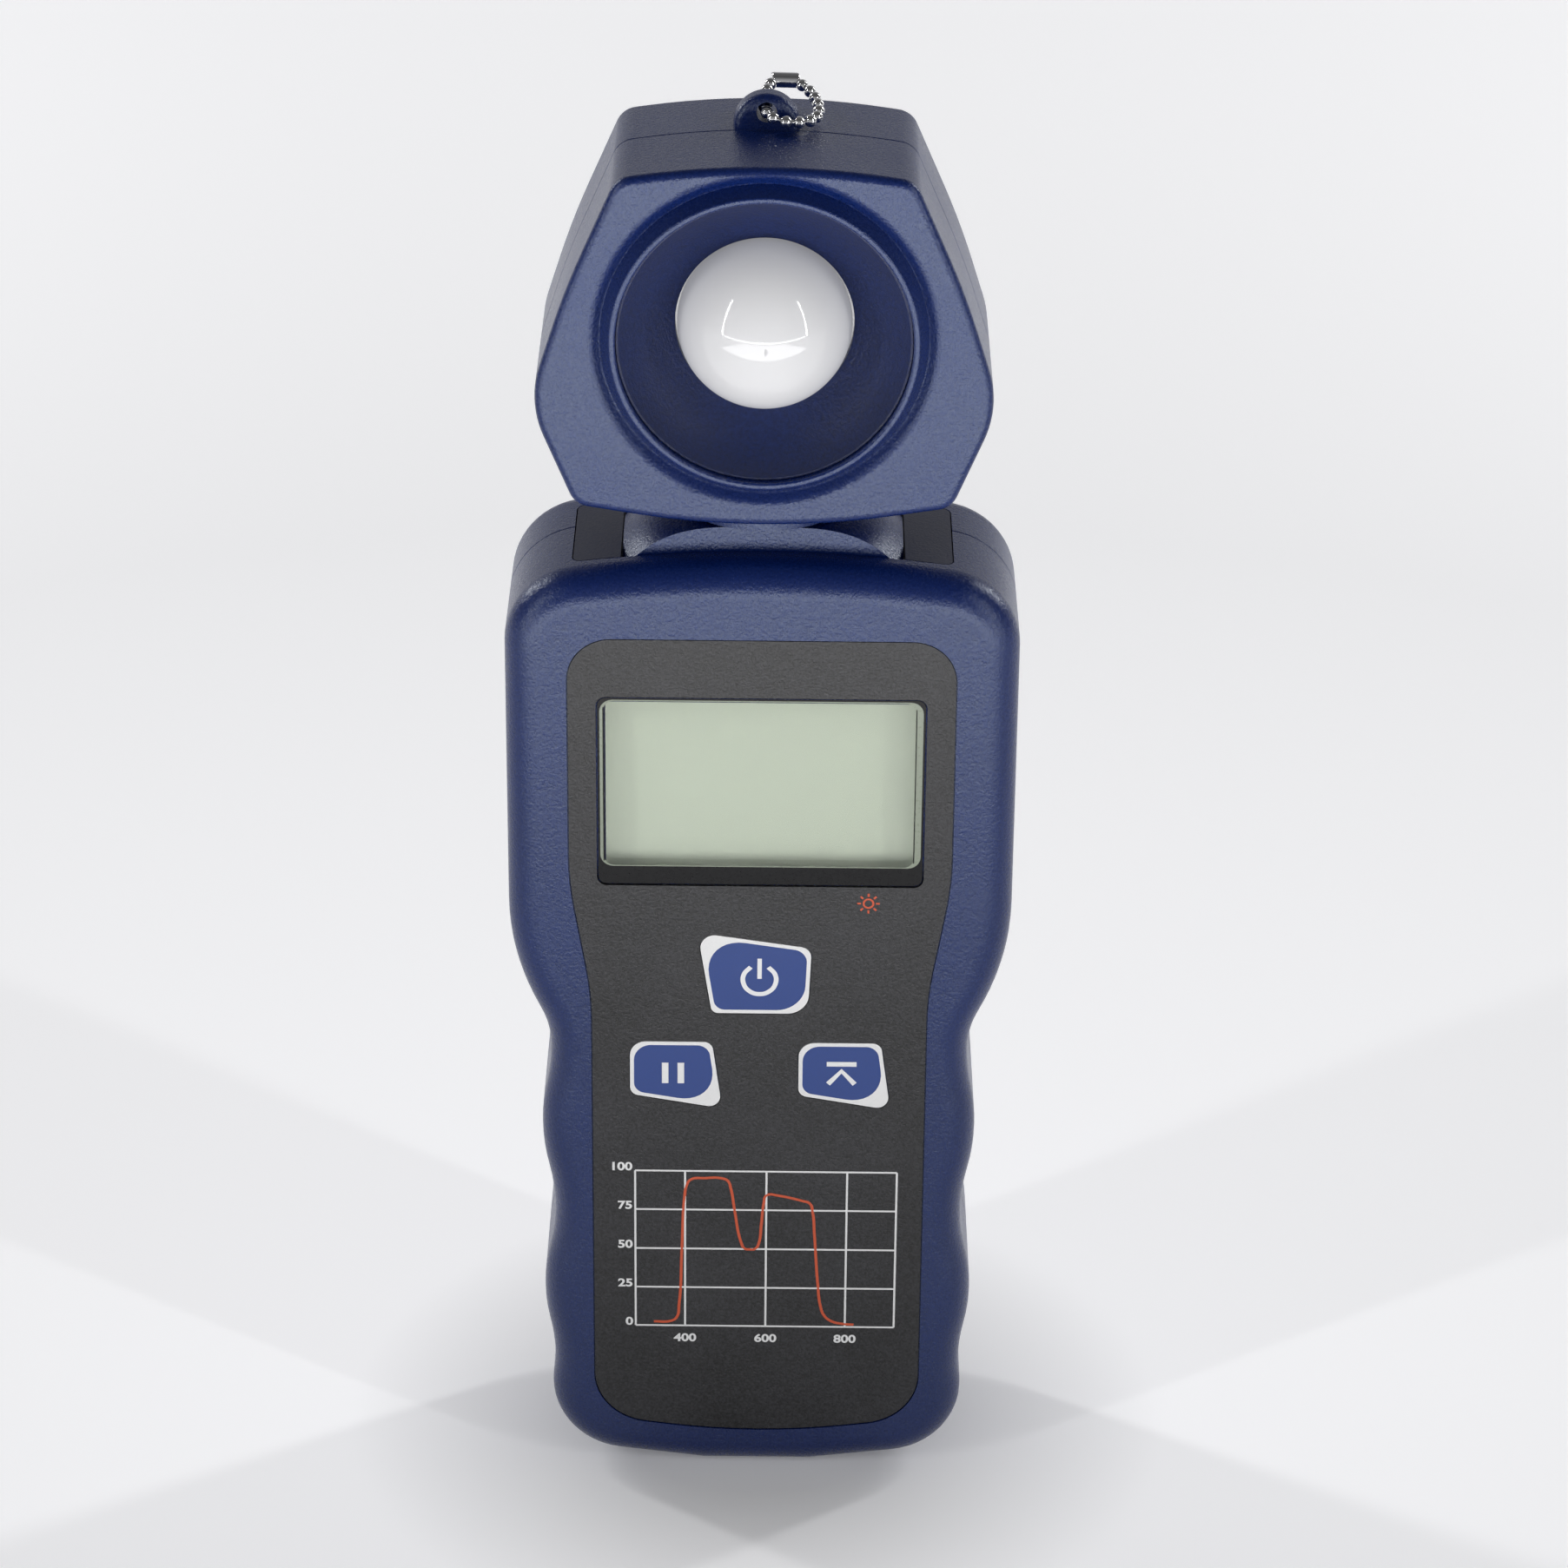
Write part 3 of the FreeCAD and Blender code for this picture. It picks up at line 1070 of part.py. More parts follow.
HOLDER_FRONT = "(holder_height - sensor_front)"
FILTER_BACK = "(holder_height - sensor_front - filter_thickness)"
filter_bore = size("filter_radius + thread_gap")
holder_bore = size("filter_radius - 0.8")
holder_outer = size("holder_radius")
holder_profile = [(-size(HOLDER_FRONT), filter_bore), (-size(FILTER_BACK), filter_bore),
                  (-size(FILTER_BACK), holder_bore), (size("sensor_front"), holder_bore),
                  (size("sensor_front"), holder_outer), (-size(HOLDER_FRONT), holder_outer)]
turned_on_optic("filter_holder", polygon(holder_profile))
turned_on_optic("optical_filter", band(HOLDER_FRONT, FILTER_BACK, 0.0, size("filter_radius")))
turned_on_optic("photodiode", polygon([
    (size("sensor_front"), 0), (size("sensor_front"), size("diode_radius")),
    (size("sensor_front") - size("diode_height") * 0.2, size("diode_radius")),
    (size("sensor_front") - size("diode_height") * 0.2, size("diode_radius") * 0.88),
    (size("sensor_front - diode_height"), size("diode_radius") * 0.88),
    (size("sensor_front - diode_height"), 0)]))

# ---------------------------------------------------------------- batteries, contacts and cover

cell_y = size(CELL_MIDDLE)
bay_low, bay_high = size("bay_bottom"), size(BAY_TOP)
plate = size("contact_plate")
spring_length, cell_length = size("cell_spring"), size("cell_length")
cell_radius, button = size("cell_radius"), size("cell_button_radius")
edge = size("cell_button_radius") / 4
cell_body = cell_length - size("cell_button")


def standing(shape, x, low, length, upside_down):
    """A piece of a given length placed in the bay, the right way up or turned over."""
    copy = shape.copy()
    if upside_down:
        copy.rotate(Vector(0, 0, length / 2), Vector(0, 1, 0), 180)
    copy.translate(Vector(x, cell_y, low))
    return copy


cell = turned([Vector(0, 0, 0), Vector(cell_radius - edge, 0, 0), Vector(cell_radius, 0, edge),
               Vector(cell_radius, 0, cell_body - edge), Vector(cell_radius - edge, 0, cell_body),
               Vector(button, 0, cell_body), Vector(button, 0, cell_length), Vector(0, 0, cell_length)],
              Vector(0, 0, 0), Vector(0, 0, 1))
spring_wide, spring_narrow, wire = cell_radius * 0.7, cell_radius * 0.5, 0.4
spring = turned([Vector(spring_wide - wire, 0, 0), Vector(spring_wide, 0, 0),
                 Vector(spring_narrow, 0, spring_length), Vector(spring_narrow - wire, 0, spring_length)],
                Vector(0, 0, 0), Vector(0, 0, 1))
cells, springs = [], []
for number in (-1, 0, 1):
    x = number * size("cell_pitch")
    turned_over = number == 0
    low = bay_low + plate + (0 if turned_over else spring_length)
    cells.append(standing(cell, x, low, cell_length, turned_over))
    spring_low = bay_high - plate - spring_length if turned_over else bay_low + plate
    springs.append(standing(spring, x, spring_low, spring_length, turned_over))
group("battery_cells", cells)
group("contact_springs", springs)

reach = cell_radius * 0.8
pitch = size("cell_pitch")
plate_front, plate_back = size(BAY_FLOOR), cell_y + cell_radius * 0.5
tag_front = -size(BOARD_BACK)


def contact(left, right, low, tag_x=None):
    """Sheet metal contact at one end of the bay, with a tag to the main board if it has one."""
    solid = box(left - reach, plate_front, low, right + reach, plate_back, low + plate)
    if tag_x is not None:
        tag = box(tag_x - TAG_HALF + 0.05, tag_front, low + 0.02,
                  tag_x + TAG_HALF - 0.05, plate_front, low + plate - 0.02)
        solid = solid.fuse(tag)
    return solid


group("battery_contacts", [contact(-pitch, 0, bay_low), contact(pitch, pitch, bay_low, pitch),
                           contact(-pitch, -pitch, bay_high - plate, -pitch),
                           contact(0, pitch, bay_high - plate)])

cover = new_body("battery_cover")
cover_margin = size("cover_ledge - cover_gap")
pad(cover, bay_outline(cover_margin), "0 - " + COVER_INNER, "cover_thickness")
hook_low = size("bay_bottom - cover_ledge - hook_reach")
for x in HOOKS:
    half = size("hook_width / 2")
    pad(cover, rectangle(x - half, hook_low, x + half, size("bay_bottom - 0.3")),
        "0 - (" + COVER_INNER + " - hook_drop - hook_thickness)", "hook_thickness")
    pad(cover, rectangle(x - half, size("bay_bottom - cover_ledge + cover_gap"), x + half,
                         size("bay_bottom - 0.3")),
        "0 - (" + COVER_INNER + " - hook_drop - hook_thickness)", "hook_thickness + hook_drop")
latch_top = size(BAY_TOP) + cover_margin
for number in range(4):
    low = latch_top - 3.5 - number * 1.8
    pocket(cover, rectangle(-7.0, low, 7.0, low + 0.8, 0.3), BACK, "cover_thickness / 4", away=True)
for side in (-1, 1):
    edges = sorted((side * 8.6, side * 9.4))
    pocket(cover, rectangle(edges[0], latch_top - 11.0, edges[1], latch_top + 0.1), BACK,
           "cover_thickness", away=True)

# ---------------------------------------------------------------- sensor lead and its socket

socket_front = board_back
socket_low, socket_top = size("socket_bottom"), size("socket_bottom + socket_height")
socket_half = size("socket_width / 2")
group("lead_socket", [box(-socket_half, socket_front, socket_low, socket_half,
                          socket_front + size("socket_depth"), socket_top)])

lead_y = socket_front + size("socket_depth / 2")
bend_low, bend_high = socket_top + 0.5, size("spindle_bottom") - 1.0
bend_rise = bend_high - bend_low
bend_middle = Vector(0, lead_y / 2, (bend_low + bend_high) / 2)
bend_radius = (lead_y ** 2 + bend_rise ** 2) / (4 * abs(lead_y))
swing = math.asin(bend_rise / 2 / bend_radius) / 2
lower_mid = Vector(0, lead_y + bend_radius * (1 - math.cos(swing)), bend_low + bend_radius * math.sin(swing))
upper_mid = Vector(0, -bend_radius * (1 - math.cos(swing)), bend_high - bend_radius * math.sin(swing))
lead_path = Part.Wire([
    Part.makeLine(Vector(0, lead_y, socket_top), Vector(0, lead_y, bend_low)),
    Part.Arc(Vector(0, lead_y, bend_low), lower_mid, bend_middle).toShape(),
    Part.Arc(bend_middle, upper_mid, Vector(0, 0, bend_high)).toShape(),
    Part.makeLine(Vector(0, 0, bend_high), Vector(0, 0, size("lead_top")))])
lead_section = Part.Wire([Part.makeCircle(size("lead_radius"), Vector(0, lead_y, socket_top),
                                          Vector(0, 0, 1))])
lead = lead_path.makePipeShell([lead_section], True, False)
group("sensor_lead", [lead])

# ---------------------------------------------------------------- ball chain through the lug

hole_z = size(HEAD_TOP + " + lug_hole_rise")
half_loop = size("lug_radius") * 0.8
CHAIN = [(0.0, lug_far, 0.0), (0.0, lug_near, 0.0), (1.1, lug_near - 1.6, -0.3),
         (half_loop, lug_near - 1.5, -0.7), (half_loop + 2.1, lug_near - 0.2, -0.9),
         (half_loop + 3.0, lug_near + 2.4, -0.8), (half_loop + 2.7, lug_far + 2.2, -0.3),
         (half_loop + 1.3, lug_far + 5.3, 0.3), (half_loop - 1.0, lug_far + 6.7, 0.8),
         (0.5, lug_far + 5.1, 0.8), (0.0, lug_far + 2.5, 0.4)]
loop = Part.BSplineCurve()
loop.interpolate([Vector(x, y, hole_z + rise) for x, y, rise in CHAIN], PeriodicFlag=True)
loop_edge = loop.toShape()
bead_count = round(loop_edge.Length / size("bead_pitch"))
spots = loop_edge.discretize(Number=bead_count + 1)[:-1]
clasp_middle = Vector(*CHAIN[8]) + Vector(0, 0, hole_z)
clasped = sorted(spots, key=lambda spot: spot.distanceToPoint(clasp_middle))[:2]

link_radius = size("link_radius")
pieces = []
for number, spot in enumerate(spots):
    following = spots[(number + 1) % bead_count]
    if spot in clasped and following in clasped:
        run = following - spot
        overhang = size("clasp_radius")
        start = spot - run.normalize() * overhang
        clasp = Part.makeCylinder(size("clasp_radius"), spot.distanceToPoint(following) + 2 * overhang,
                                  start, run)
    else:
        pieces.append(Part.makeCylinder(link_radius, spot.distanceToPoint(following), spot,
                                        following - spot))
    if spot not in clasped:
        pieces.append(Part.makeSphere(size("bead_radius"), spot))
clasp = clasp.makeFillet(size("clasp_radius") * 0.3, [edge for edge in clasp.Edges
                                                      if isinstance(edge.Curve, Part.Circle)])
chain = pieces[0].multiFuse(pieces[1:]).cut(clasp)
group("ball_chain", [chain])
group("chain_clasp", [clasp])

# ---------------------------------------------------------------- checks and export

doc.recompute()
os.makedirs("parts", exist_ok=True)
nodes = [item for item in doc.Objects
         if item.TypeId in ("PartDesign::Body", "Part::Feature") and item.Label not in ("", None)]
for node in nodes:
    states = [item.State for item in (node.Group if hasattr(node, "Group") else [node])]
    if any("Invalid" in state or "Error" in state for state in states):
        raise RuntimeError(f"{node.Label}: a feature failed, {states}")
    if node.Shape.isNull() or not node.Shape.isValid() or not node.Shape.Solids:
        raise RuntimeError(f"{node.Label}: the shape is not a valid solid")
    if node.TypeId == "PartDesign::Body" and len(node.Shape.Solids) != 1:
        raise RuntimeError(f"{node.Label}: {len(node.Shape.Solids)} solids")
    node.Shape.exportStep(os.path.join("parts", node.Label + ".step"))
    box_of = node.Shape.BoundBox
    print(f"{node.Label:18s} {len(node.Shape.Solids):3d} solids {node.Shape.Volume:10.1f} mm3  "
          f"x {box_of.XMin:7.2f} {box_of.XMax:7.2f}  y {box_of.YMin:7.2f} {box_of.YMax:7.2f}  "
          f"z {box_of.ZMin:7.2f} {box_of.ZMax:7.2f}")
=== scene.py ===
"""Handheld light meter: finishes, printing, floor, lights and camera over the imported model.

Metres, except where a line says mm. +Z runs up the meter as it stands on its base, the display
faces -Y, and the origin is the middle of the base face.
"""
import math

import bmesh
import bpy
from mathutils import Matrix, Vector


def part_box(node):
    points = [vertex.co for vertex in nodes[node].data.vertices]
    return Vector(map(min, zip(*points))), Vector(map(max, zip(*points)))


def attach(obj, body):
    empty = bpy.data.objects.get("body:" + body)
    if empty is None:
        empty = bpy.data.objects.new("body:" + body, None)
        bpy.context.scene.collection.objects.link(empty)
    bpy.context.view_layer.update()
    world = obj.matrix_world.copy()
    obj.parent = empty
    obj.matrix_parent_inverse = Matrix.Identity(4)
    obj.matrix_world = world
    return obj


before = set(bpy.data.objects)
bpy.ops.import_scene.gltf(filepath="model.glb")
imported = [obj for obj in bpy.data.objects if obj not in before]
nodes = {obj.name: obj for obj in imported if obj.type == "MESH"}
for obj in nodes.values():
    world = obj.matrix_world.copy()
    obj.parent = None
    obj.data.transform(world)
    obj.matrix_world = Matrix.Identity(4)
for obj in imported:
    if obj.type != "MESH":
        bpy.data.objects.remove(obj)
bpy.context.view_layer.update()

# ---------------------------------------------------------------- camera
# Long lens, in front of the meter and well above it, looking down at it; the meter stands a
# touch off upright in the view, so the camera is turned a little about its own axis.

lens = bpy.data.cameras.new("camera")
lens.lens = 117.0
lens.sensor_width = 36.0
lens.clip_start, lens.clip_end = 0.01, 20.0
camera = bpy.data.objects.new("camera", lens)
bpy.context.scene.collection.objects.link(camera)
camera_place = (0.00285, -0.5794, 0.3835)
look_down, lean = math.radians(26.5), math.radians(0.57)
camera.matrix_world = (Matrix.Translation(camera_place)
                       @ Matrix.Rotation(math.radians(90) - look_down, 4, "X")
                       @ Matrix.Rotation(lean, 4, "Z"))
bpy.context.scene.camera = camera

# ---------------------------------------------------------------- floor and light
# A white table in a light tent. Thin strips stand in front, one low along the table and one up each
# side, and a lit patch of the table throws light up the meter's front. A lamp stands behind the
# meter on each side, and the two shadows that they throw cross in front of it.

bpy.context.scene.view_settings.view_transform = "Standard"
NEUTRAL = (0.98, 0.98, 1.0, 1.0)


def new_material(name, colour, roughness, **sockets):
    """A plain shader; the names of sockets are written with underscores for spaces."""
    made = bpy.data.materials.new(name)
    made.use_nodes = True
    shader = made.node_tree.nodes["Principled BSDF"]
    shader.inputs["Base Color"].default_value = (*colour, 1.0)
    shader.inputs["Roughness"].default_value = roughness
    for socket, value in sockets.items():
        shader.inputs[socket.replace("_", " ")].default_value = value
    return made


def add_node(tree, kind, x, y, *terms, operation=None, **values):
    """A node with some of its inputs given, terms by their order and values by their name. Another
    node's output is linked, and anything else is set."""
    node = tree.nodes.new(kind)
    node.location = (x, y)
    if operation:
        node.operation = operation
    inputs = dict(enumerate(terms))
    inputs.update((socket.replace("_", " "), value) for socket, value in values.items())
    for socket, value in inputs.items():
        if isinstance(value, bpy.types.NodeSocket):
            tree.links.new(value, node.inputs[socket])
        else:
            node.inputs[socket].default_value = value
    return node


def calculate(tree, operation, x, y, *terms):
    """The result of a Math node."""
    return add_node(tree, "ShaderNodeMath", x, y, *terms, operation=operation).outputs["Value"]


def chosen_rays(tree, *kinds):
    """1 where the ray is of one of the kinds, else 0."""
    rays = add_node(tree, "ShaderNodeLightPath", -1000, 300).outputs
    result = rays[kinds[0]]
    for kind in kinds[1:]:
        result = calculate(tree, "MAXIMUM", -800, 300, result, rays[kind])
    return result


# To the eye and in reflections the floor glows a little; the glow is least round the meter's foot, a
# painted shadow over the real one there. Each stop is a distance from the meter and the glow there.
GLOW_AND_SHADOW_STOPS = ((0.02, 0.11), (0.055, 0.42), (0.3, 0.30), (0.65, 0.42))
FLOOR_REACH = 4.0
floor_white = new_material("floor_white", (0.88, 0.88, 0.89), 0.9, Specular_IOR_Level=0.0,
                           Emission_Color=NEUTRAL)
tree = floor_white.node_tree
place = add_node(tree, "ShaderNodeTexCoord", -1200, -300)
away = add_node(tree, "ShaderNodeVectorMath", -1000, -300, place.outputs["Object"], operation="LENGTH")
glow = add_node(tree, "ShaderNodeValToRGB", -600, -300, Fac=away.outputs["Value"])
stops = glow.color_ramp.elements
stops.remove(stops[0])
for distance, strength in GLOW_AND_SHADOW_STOPS[:-1]:
    stops.new(distance).color = (strength, strength, strength, 1.0)
distance, strength = GLOW_AND_SHADOW_STOPS[-1]
stops[-1].position, stops[-1].color = distance, (strength, strength, strength, 1.0)
seen = chosen_rays(tree, "Is Camera Ray", "Is Glossy Ray", "Is Transmission Ray")
tree.links.new(calculate(tree, "MULTIPLY", -200, -200, seen, glow.outputs["Color"]),
               tree.nodes["Principled BSDF"].inputs["Emission Strength"])
bm = bmesh.new()
bmesh.ops.create_grid(bm, x_segments=1, y_segments=1, size=FLOOR_REACH)
floor_mesh = bpy.data.meshes.new("floor")
bm.to_mesh(floor_mesh)
bm.free()
floor_mesh.materials.append(floor_white)
floor = bpy.data.objects.new("floor", floor_mesh)
bpy.context.scene.collection.objects.link(floor)

# The tent gives a little more light from behind the meter than from in front, and less from overhead
# and from the sides. The eye sees it plain and pale.
EYE_LEVEL = 0.88
world = bpy.data.worlds.new("tent")
bpy.context.scene.world = world
world.use_nodes = True
tent = world.node_tree
way = add_node(tent, "ShaderNodeTexCoord", -1200, 0)
axes = add_node(tent, "ShaderNodeSeparateXYZ", -1000, 0, way.outputs["Generated"]).outputs
aside = calculate(tent, "ABSOLUTE", -800, -300, axes["X"])
wall = add_node(tent, "ShaderNodeMapRange", -600, 0, axes["Y"],
                From_Min=-0.5, From_Max=0.5, To_Min=0.38, To_Max=0.62)
roof = add_node(tent, "ShaderNodeMapRange", -600, 300, axes["Z"],
                From_Min=0.25, From_Max=0.80, To_Min=1.0, To_Max=0.2)
flank = add_node(tent, "ShaderNodeMapRange", -600, -300, aside,
                 From_Min=0.4, From_Max=0.95, To_Min=1.0, To_Max=0.35)
level = calculate(tent, "MULTIPLY", -450, 100, wall.outputs["Result"], roof.outputs["Result"])
level = calculate(tent, "MULTIPLY", -300, 100, level, flank.outputs["Result"])
shown = add_node(tent, "ShaderNodeMix", -100, 200, Factor=chosen_rays(tent, "Is Camera Ray"),
                 A=level, B=EYE_LEVEL)
backdrop = tent.nodes["Background"]
backdrop.inputs["Color"].default_value = NEUTRAL
tent.links.new(shown.outputs["Result"], backdrop.inputs["Strength"])


def soft_lamp(name, place, target, width, height, power):
    """A rectangular softbox facing a point; the eye doesn't see it."""
    data = bpy.data.lights.new(name, "AREA")
    data.shape = "RECTANGLE"
    data.size, data.size_y, data.energy = width, height, power
    lamp = bpy.data.objects.new(name, data)
    facing = (Vector(target) - Vector(place)).to_track_quat("-Z", "Y").to_matrix().to_4x4()
    lamp.matrix_world = Matrix.Translation(place) @ facing
    lamp.visible_camera = False
    bpy.context.scene.collection.objects.link(lamp)
    return lamp


# The low strip shows only in what reflects it, or it would draw a bright band along the floor.
STRIP = 0.03
low_strip = soft_lamp("low_strip", place=(0.0, -0.85, 0.03), target=(0.0, 0.0, 0.08),
                      width=2.3, height=STRIP, power=2.4)
low_strip.visible_diffuse = False
soft_lamp("table_glow", place=(0.0, -0.52, 0.004), target=(0.0, -0.52, 1.0),
          width=0.75, height=0.54, power=5.7)
for name, side in (("left", -1), ("right", 1)):
    soft_lamp(name + "_strip", place=(1.2 * side, -0.83, 0.65), target=(0.0, 0.0, 0.65),
              width=STRIP, height=1.25, power=5.5)
    soft_lamp(name + "_back", place=(0.75 * side, 0.50, 0.55), target=(0.0, 0.0, 0.05),
              width=0.06, height=0.5, power=2.6)

# ---------------------------------------------------------------- moulded shells, turret and cover
# Navy plastic, moulded in tools with a fine spark-eroded texture: satin, with a close speckle that
# catches the light. The halves of the case and of the head are screwed together from the back.


def moulded_grain():
    """Shader group: a fine moulded texture with a faint, broader unevenness in tone and gloss."""
    cloud_share, gloss_share = 0.35, 0.25
    tree = bpy.data.node_groups.new("moulded grain", "ShaderNodeTree")
    face = tree.interface
    for name, kind, value in (("Colour", "NodeSocketColor", (0.5, 0.5, 0.5, 1.0)),
                              ("Roughness", "NodeSocketFloat", 0.45), ("Grain", "NodeSocketFloat", 2600.0),
                              ("Depth", "NodeSocketFloat", 0.00005), ("Speckle", "NodeSocketFloat", 0.8)):
        face.new_socket(name, in_out="INPUT", socket_type=kind).default_value = value
    for name, kind in (("Colour", "NodeSocketColor"), ("Roughness", "NodeSocketFloat"),
                       ("Normal", "NodeSocketVector")):
        face.new_socket(name, in_out="OUTPUT", socket_type=kind)
    given = add_node(tree, "NodeGroupInput", -1000, 0).outputs
    place = add_node(tree, "ShaderNodeTexCoord", -1000, -300).outputs["Object"]
    grain = add_node(tree, "ShaderNodeTexNoise", -780, -100, Vector=place, Scale=given["Grain"],
                     Detail=3.0, Roughness=0.65).outputs["Fac"]
    cloud = add_node(tree, "ShaderNodeTexNoise", -780, -380, Vector=place, Scale=70.0,
                     Detail=2.0, Roughness=0.5).outputs["Fac"]
    both = calculate(tree, "MULTIPLY_ADD", -560, -240, cloud, cloud_share, grain)
    # Both noises lie round 0.5, so this lies round 0.
    uneven = calculate(tree, "SUBTRACT", -380, -240, both, 0.5 * (1 + cloud_share))
    brighter = calculate(tree, "MULTIPLY_ADD", -200, -140, uneven, given["Speckle"], 1.0)
    tone = add_node(tree, "ShaderNodeHueSaturation", 100, 100, Color=given["Colour"], Value=brighter)
    gloss = calculate(tree, "MULTIPLY_ADD", 100, -100, uneven, gloss_share, given["Roughness"])
    bumps = add_node(tree, "ShaderNodeBump", 100, -300, Strength=1.0, Distance=given["Depth"], Height=grain)
    add_node(tree, "NodeGroupOutput", 500, 0, Colour=tone.outputs["Color"], Roughness=gloss,
             Normal=bumps.outputs["Normal"])
    return tree


GRAIN = moulded_grain()


def grained(name, colour, roughness, grain=2600.0, depth=0.00005, speckle=0.8, **sockets):
    """A material whose colour, gloss and normal come from the moulded texture."""
    made = new_material(name, colour, roughness, **sockets)
    tree = made.node_tree
    texture = tree.nodes.new("ShaderNodeGroup")
    texture.location = (-300, 200)
    texture.node_tree = GRAIN
    for socket, value in (("Colour", (*colour, 1.0)), ("Roughness", roughness), ("Grain", grain),
                          ("Depth", depth), ("Speckle", speckle)):
        texture.inputs[socket].default_value = value
    shader = tree.nodes["Principled BSDF"]
    for output, socket in (("Colour", "Base Color"), ("Roughness", "Roughness"), ("Normal", "Normal")):
        tree.links.new(texture.outputs[output], shader.inputs[socket])
    return made


def finish(material, *names):
    """Gives CAD nodes their material."""
    for name in names:
        nodes[name].data.materials.clear()
        nodes[name].data.materials.append(material)


navy_plastic = grained("navy_plastic", (0.002, 0.0125, 0.092), 0.28, depth=0.00008, speckle=0.7,
                       Specular_IOR_Level=0.56, Specular_Tint=(0.80, 0.89, 1.0, 1.0))
finish(navy_plastic, "front_shell", "rear_shell", "neck_turret", "head_front_shell", "head_rear_shell",
       "battery_cover")

# ---------------------------------------------------------------- top insert
# Charcoal plastic block clamped between the shells, with a trough that clears the head. A plainer,
# duller texture than the shells'.

finish(grained("charcoal_plastic", (0.010, 0.014, 0.042), 0.5, speckle=0.8), "top_insert")

# ---------------------------------------------------------------- faceplate
# Polycarbonate film printed charcoal on its back, stuck in the recess. Its matt face has a fine,
# rather coarse-looking speckle. The graph, its numbers and the small sign are printed on it.

finish(grained("charcoal_film", (0.012, 0.012, 0.014), 0.33, grain=3200.0, depth=0.00008, speckle=6.0,
               Specular_IOR_Level=0.42), "faceplate")

film_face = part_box("faceplate")[0].y
white_ink = grained("white_ink", (0.86, 0.86, 0.86), 0.5, grain=4000.0, depth=0.000004, speckle=0.08)
orange_ink = grained("orange_ink", (0.62, 0.085, 0.025), 0.5, grain=4000.0, depth=0.000004, speckle=0.15)
# Printed lines are round rods, pressed nearly flat.
INK_FLATNESS = 0.05


def mesh_of(drawing):
    """The mesh that a curve or a text makes."""
    holder = bpy.data.objects.new(drawing.name, drawing)
    bpy.context.scene.collection.objects.link(holder)
    mesh = bpy.data.meshes.new_from_object(holder.evaluated_get(bpy.context.evaluated_depsgraph_get()))
    bpy.data.objects.remove(holder)
    return mesh


def printed(name, mesh, ink, body):
    """A finished print or painted mark as an object that rides on a body."""
    mesh.name = name
    mesh.materials.clear()
    mesh.materials.append(ink)
    piece = bpy.data.objects.new(name, mesh)
    bpy.context.scene.collection.objects.link(piece)
    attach(piece, body)


def ink_lines(name, runs, width, ink, body, closed=False, smooth=False, face=film_face):
    """Printed lines, a hair proud of the face at that depth; those on the pane are painted shade. Each run
    is a list of (x, z), and it and the width are in mm."""
    drawn = bpy.data.curves.new(name, "CURVE")
    drawn.dimensions = "3D"
    drawn.bevel_depth, drawn.bevel_resolution, drawn.resolution_u = width / 1000 / 2, 2, 10
    drawn.use_fill_caps = True
    for run in runs:
        spline = drawn.splines.new("BEZIER")
        spline.bezier_points.add(len(run) - 1)
        spline.use_cyclic_u = closed
        for point, (x, z) in zip(spline.bezier_points, run):
            point.co = (x / 1000, 0.0, z / 1000)
            point.handle_left_type = point.handle_right_type = "AUTO" if smooth else "VECTOR"
    mesh = mesh_of(drawn)
    mesh.transform(Matrix.Translation((0, face, 0)) @ Matrix.Diagonal((1, INK_FLATNESS, 1, 1)))
    printed(name, mesh, ink, body)


# The grid, in mm: its inner upright lines stand at 400, 600 and 800, and it goes from 0 to 100.
GRID_X = (-15.85, -9.4, 1.1, 11.5, 17.9)
GRID_Z = (22.2, 28.1, 34.0, 39.9, 45.7)
ink_lines("graph_grid",
          [[(x, GRID_Z[0]), (x, GRID_Z[-1])] for x in GRID_X]
          + [[(GRID_X[0], z), (GRID_X[-1], z)] for z in GRID_Z],
          0.27, white_ink, "case")

# Response against wavelength.
RESPONSE = ((322, 2.5), (365, 3), (378, 5), (385, 14), (392, 50), (399, 84), (404, 91), (414, 94.5),
            (450, 95.5), (490, 95.5), (505, 94), (513, 89), (522, 76), (540, 54), (548, 50.5), (560, 50),
            (575, 50.5), (583, 54), (589, 66), (595, 80), (600, 84.5), (609, 85.5), (625, 85),
            (690, 81.5), (708, 80), (716, 74), (721, 60), (731, 28), (738, 14), (749, 7), (768, 3.5),
            (795, 2), (822, 1.5))
step_x, step_z = (GRID_X[3] - GRID_X[1]) / 400, (GRID_Z[-1] - GRID_Z[0]) / 100
ink_lines("graph_curve",
          [[(GRID_X[1] + (wave - 400) * step_x, GRID_Z[0] + part * step_z) for wave, part in RESPONSE]],
          0.38, orange_ink, "case", smooth=True)

# The figures are a little bolder and wider than the font's own, which are 0.7 of its size high.
FIGURE_HEIGHT, FIGURE_OF_SIZE, FIGURE_STRETCH = 1.15, 0.7, 1.18
FIGURE_BOLD, FIGURE_DEPTH = 0.00005, 0.000008


def number(text, x, z, align):
    """A plain printed number; x and z in mm, z at the middle of the figures."""
    figures = bpy.data.curves.new("number_" + text, "FONT")
    figures.body, figures.size = text, FIGURE_HEIGHT / FIGURE_OF_SIZE / 1000
    figures.align_x, figures.align_y = align, "CENTER"
    figures.extrude, figures.offset = FIGURE_DEPTH, FIGURE_BOLD
    mesh = mesh_of(figures)
    mesh.transform(Matrix.Translation((x / 1000, film_face, z / 1000))
                   @ Matrix.Rotation(math.radians(90), 4, "X")
                   @ Matrix.Diagonal((FIGURE_STRETCH, 1, 1, 1)))
    printed("number_" + text, mesh, white_ink, "case")


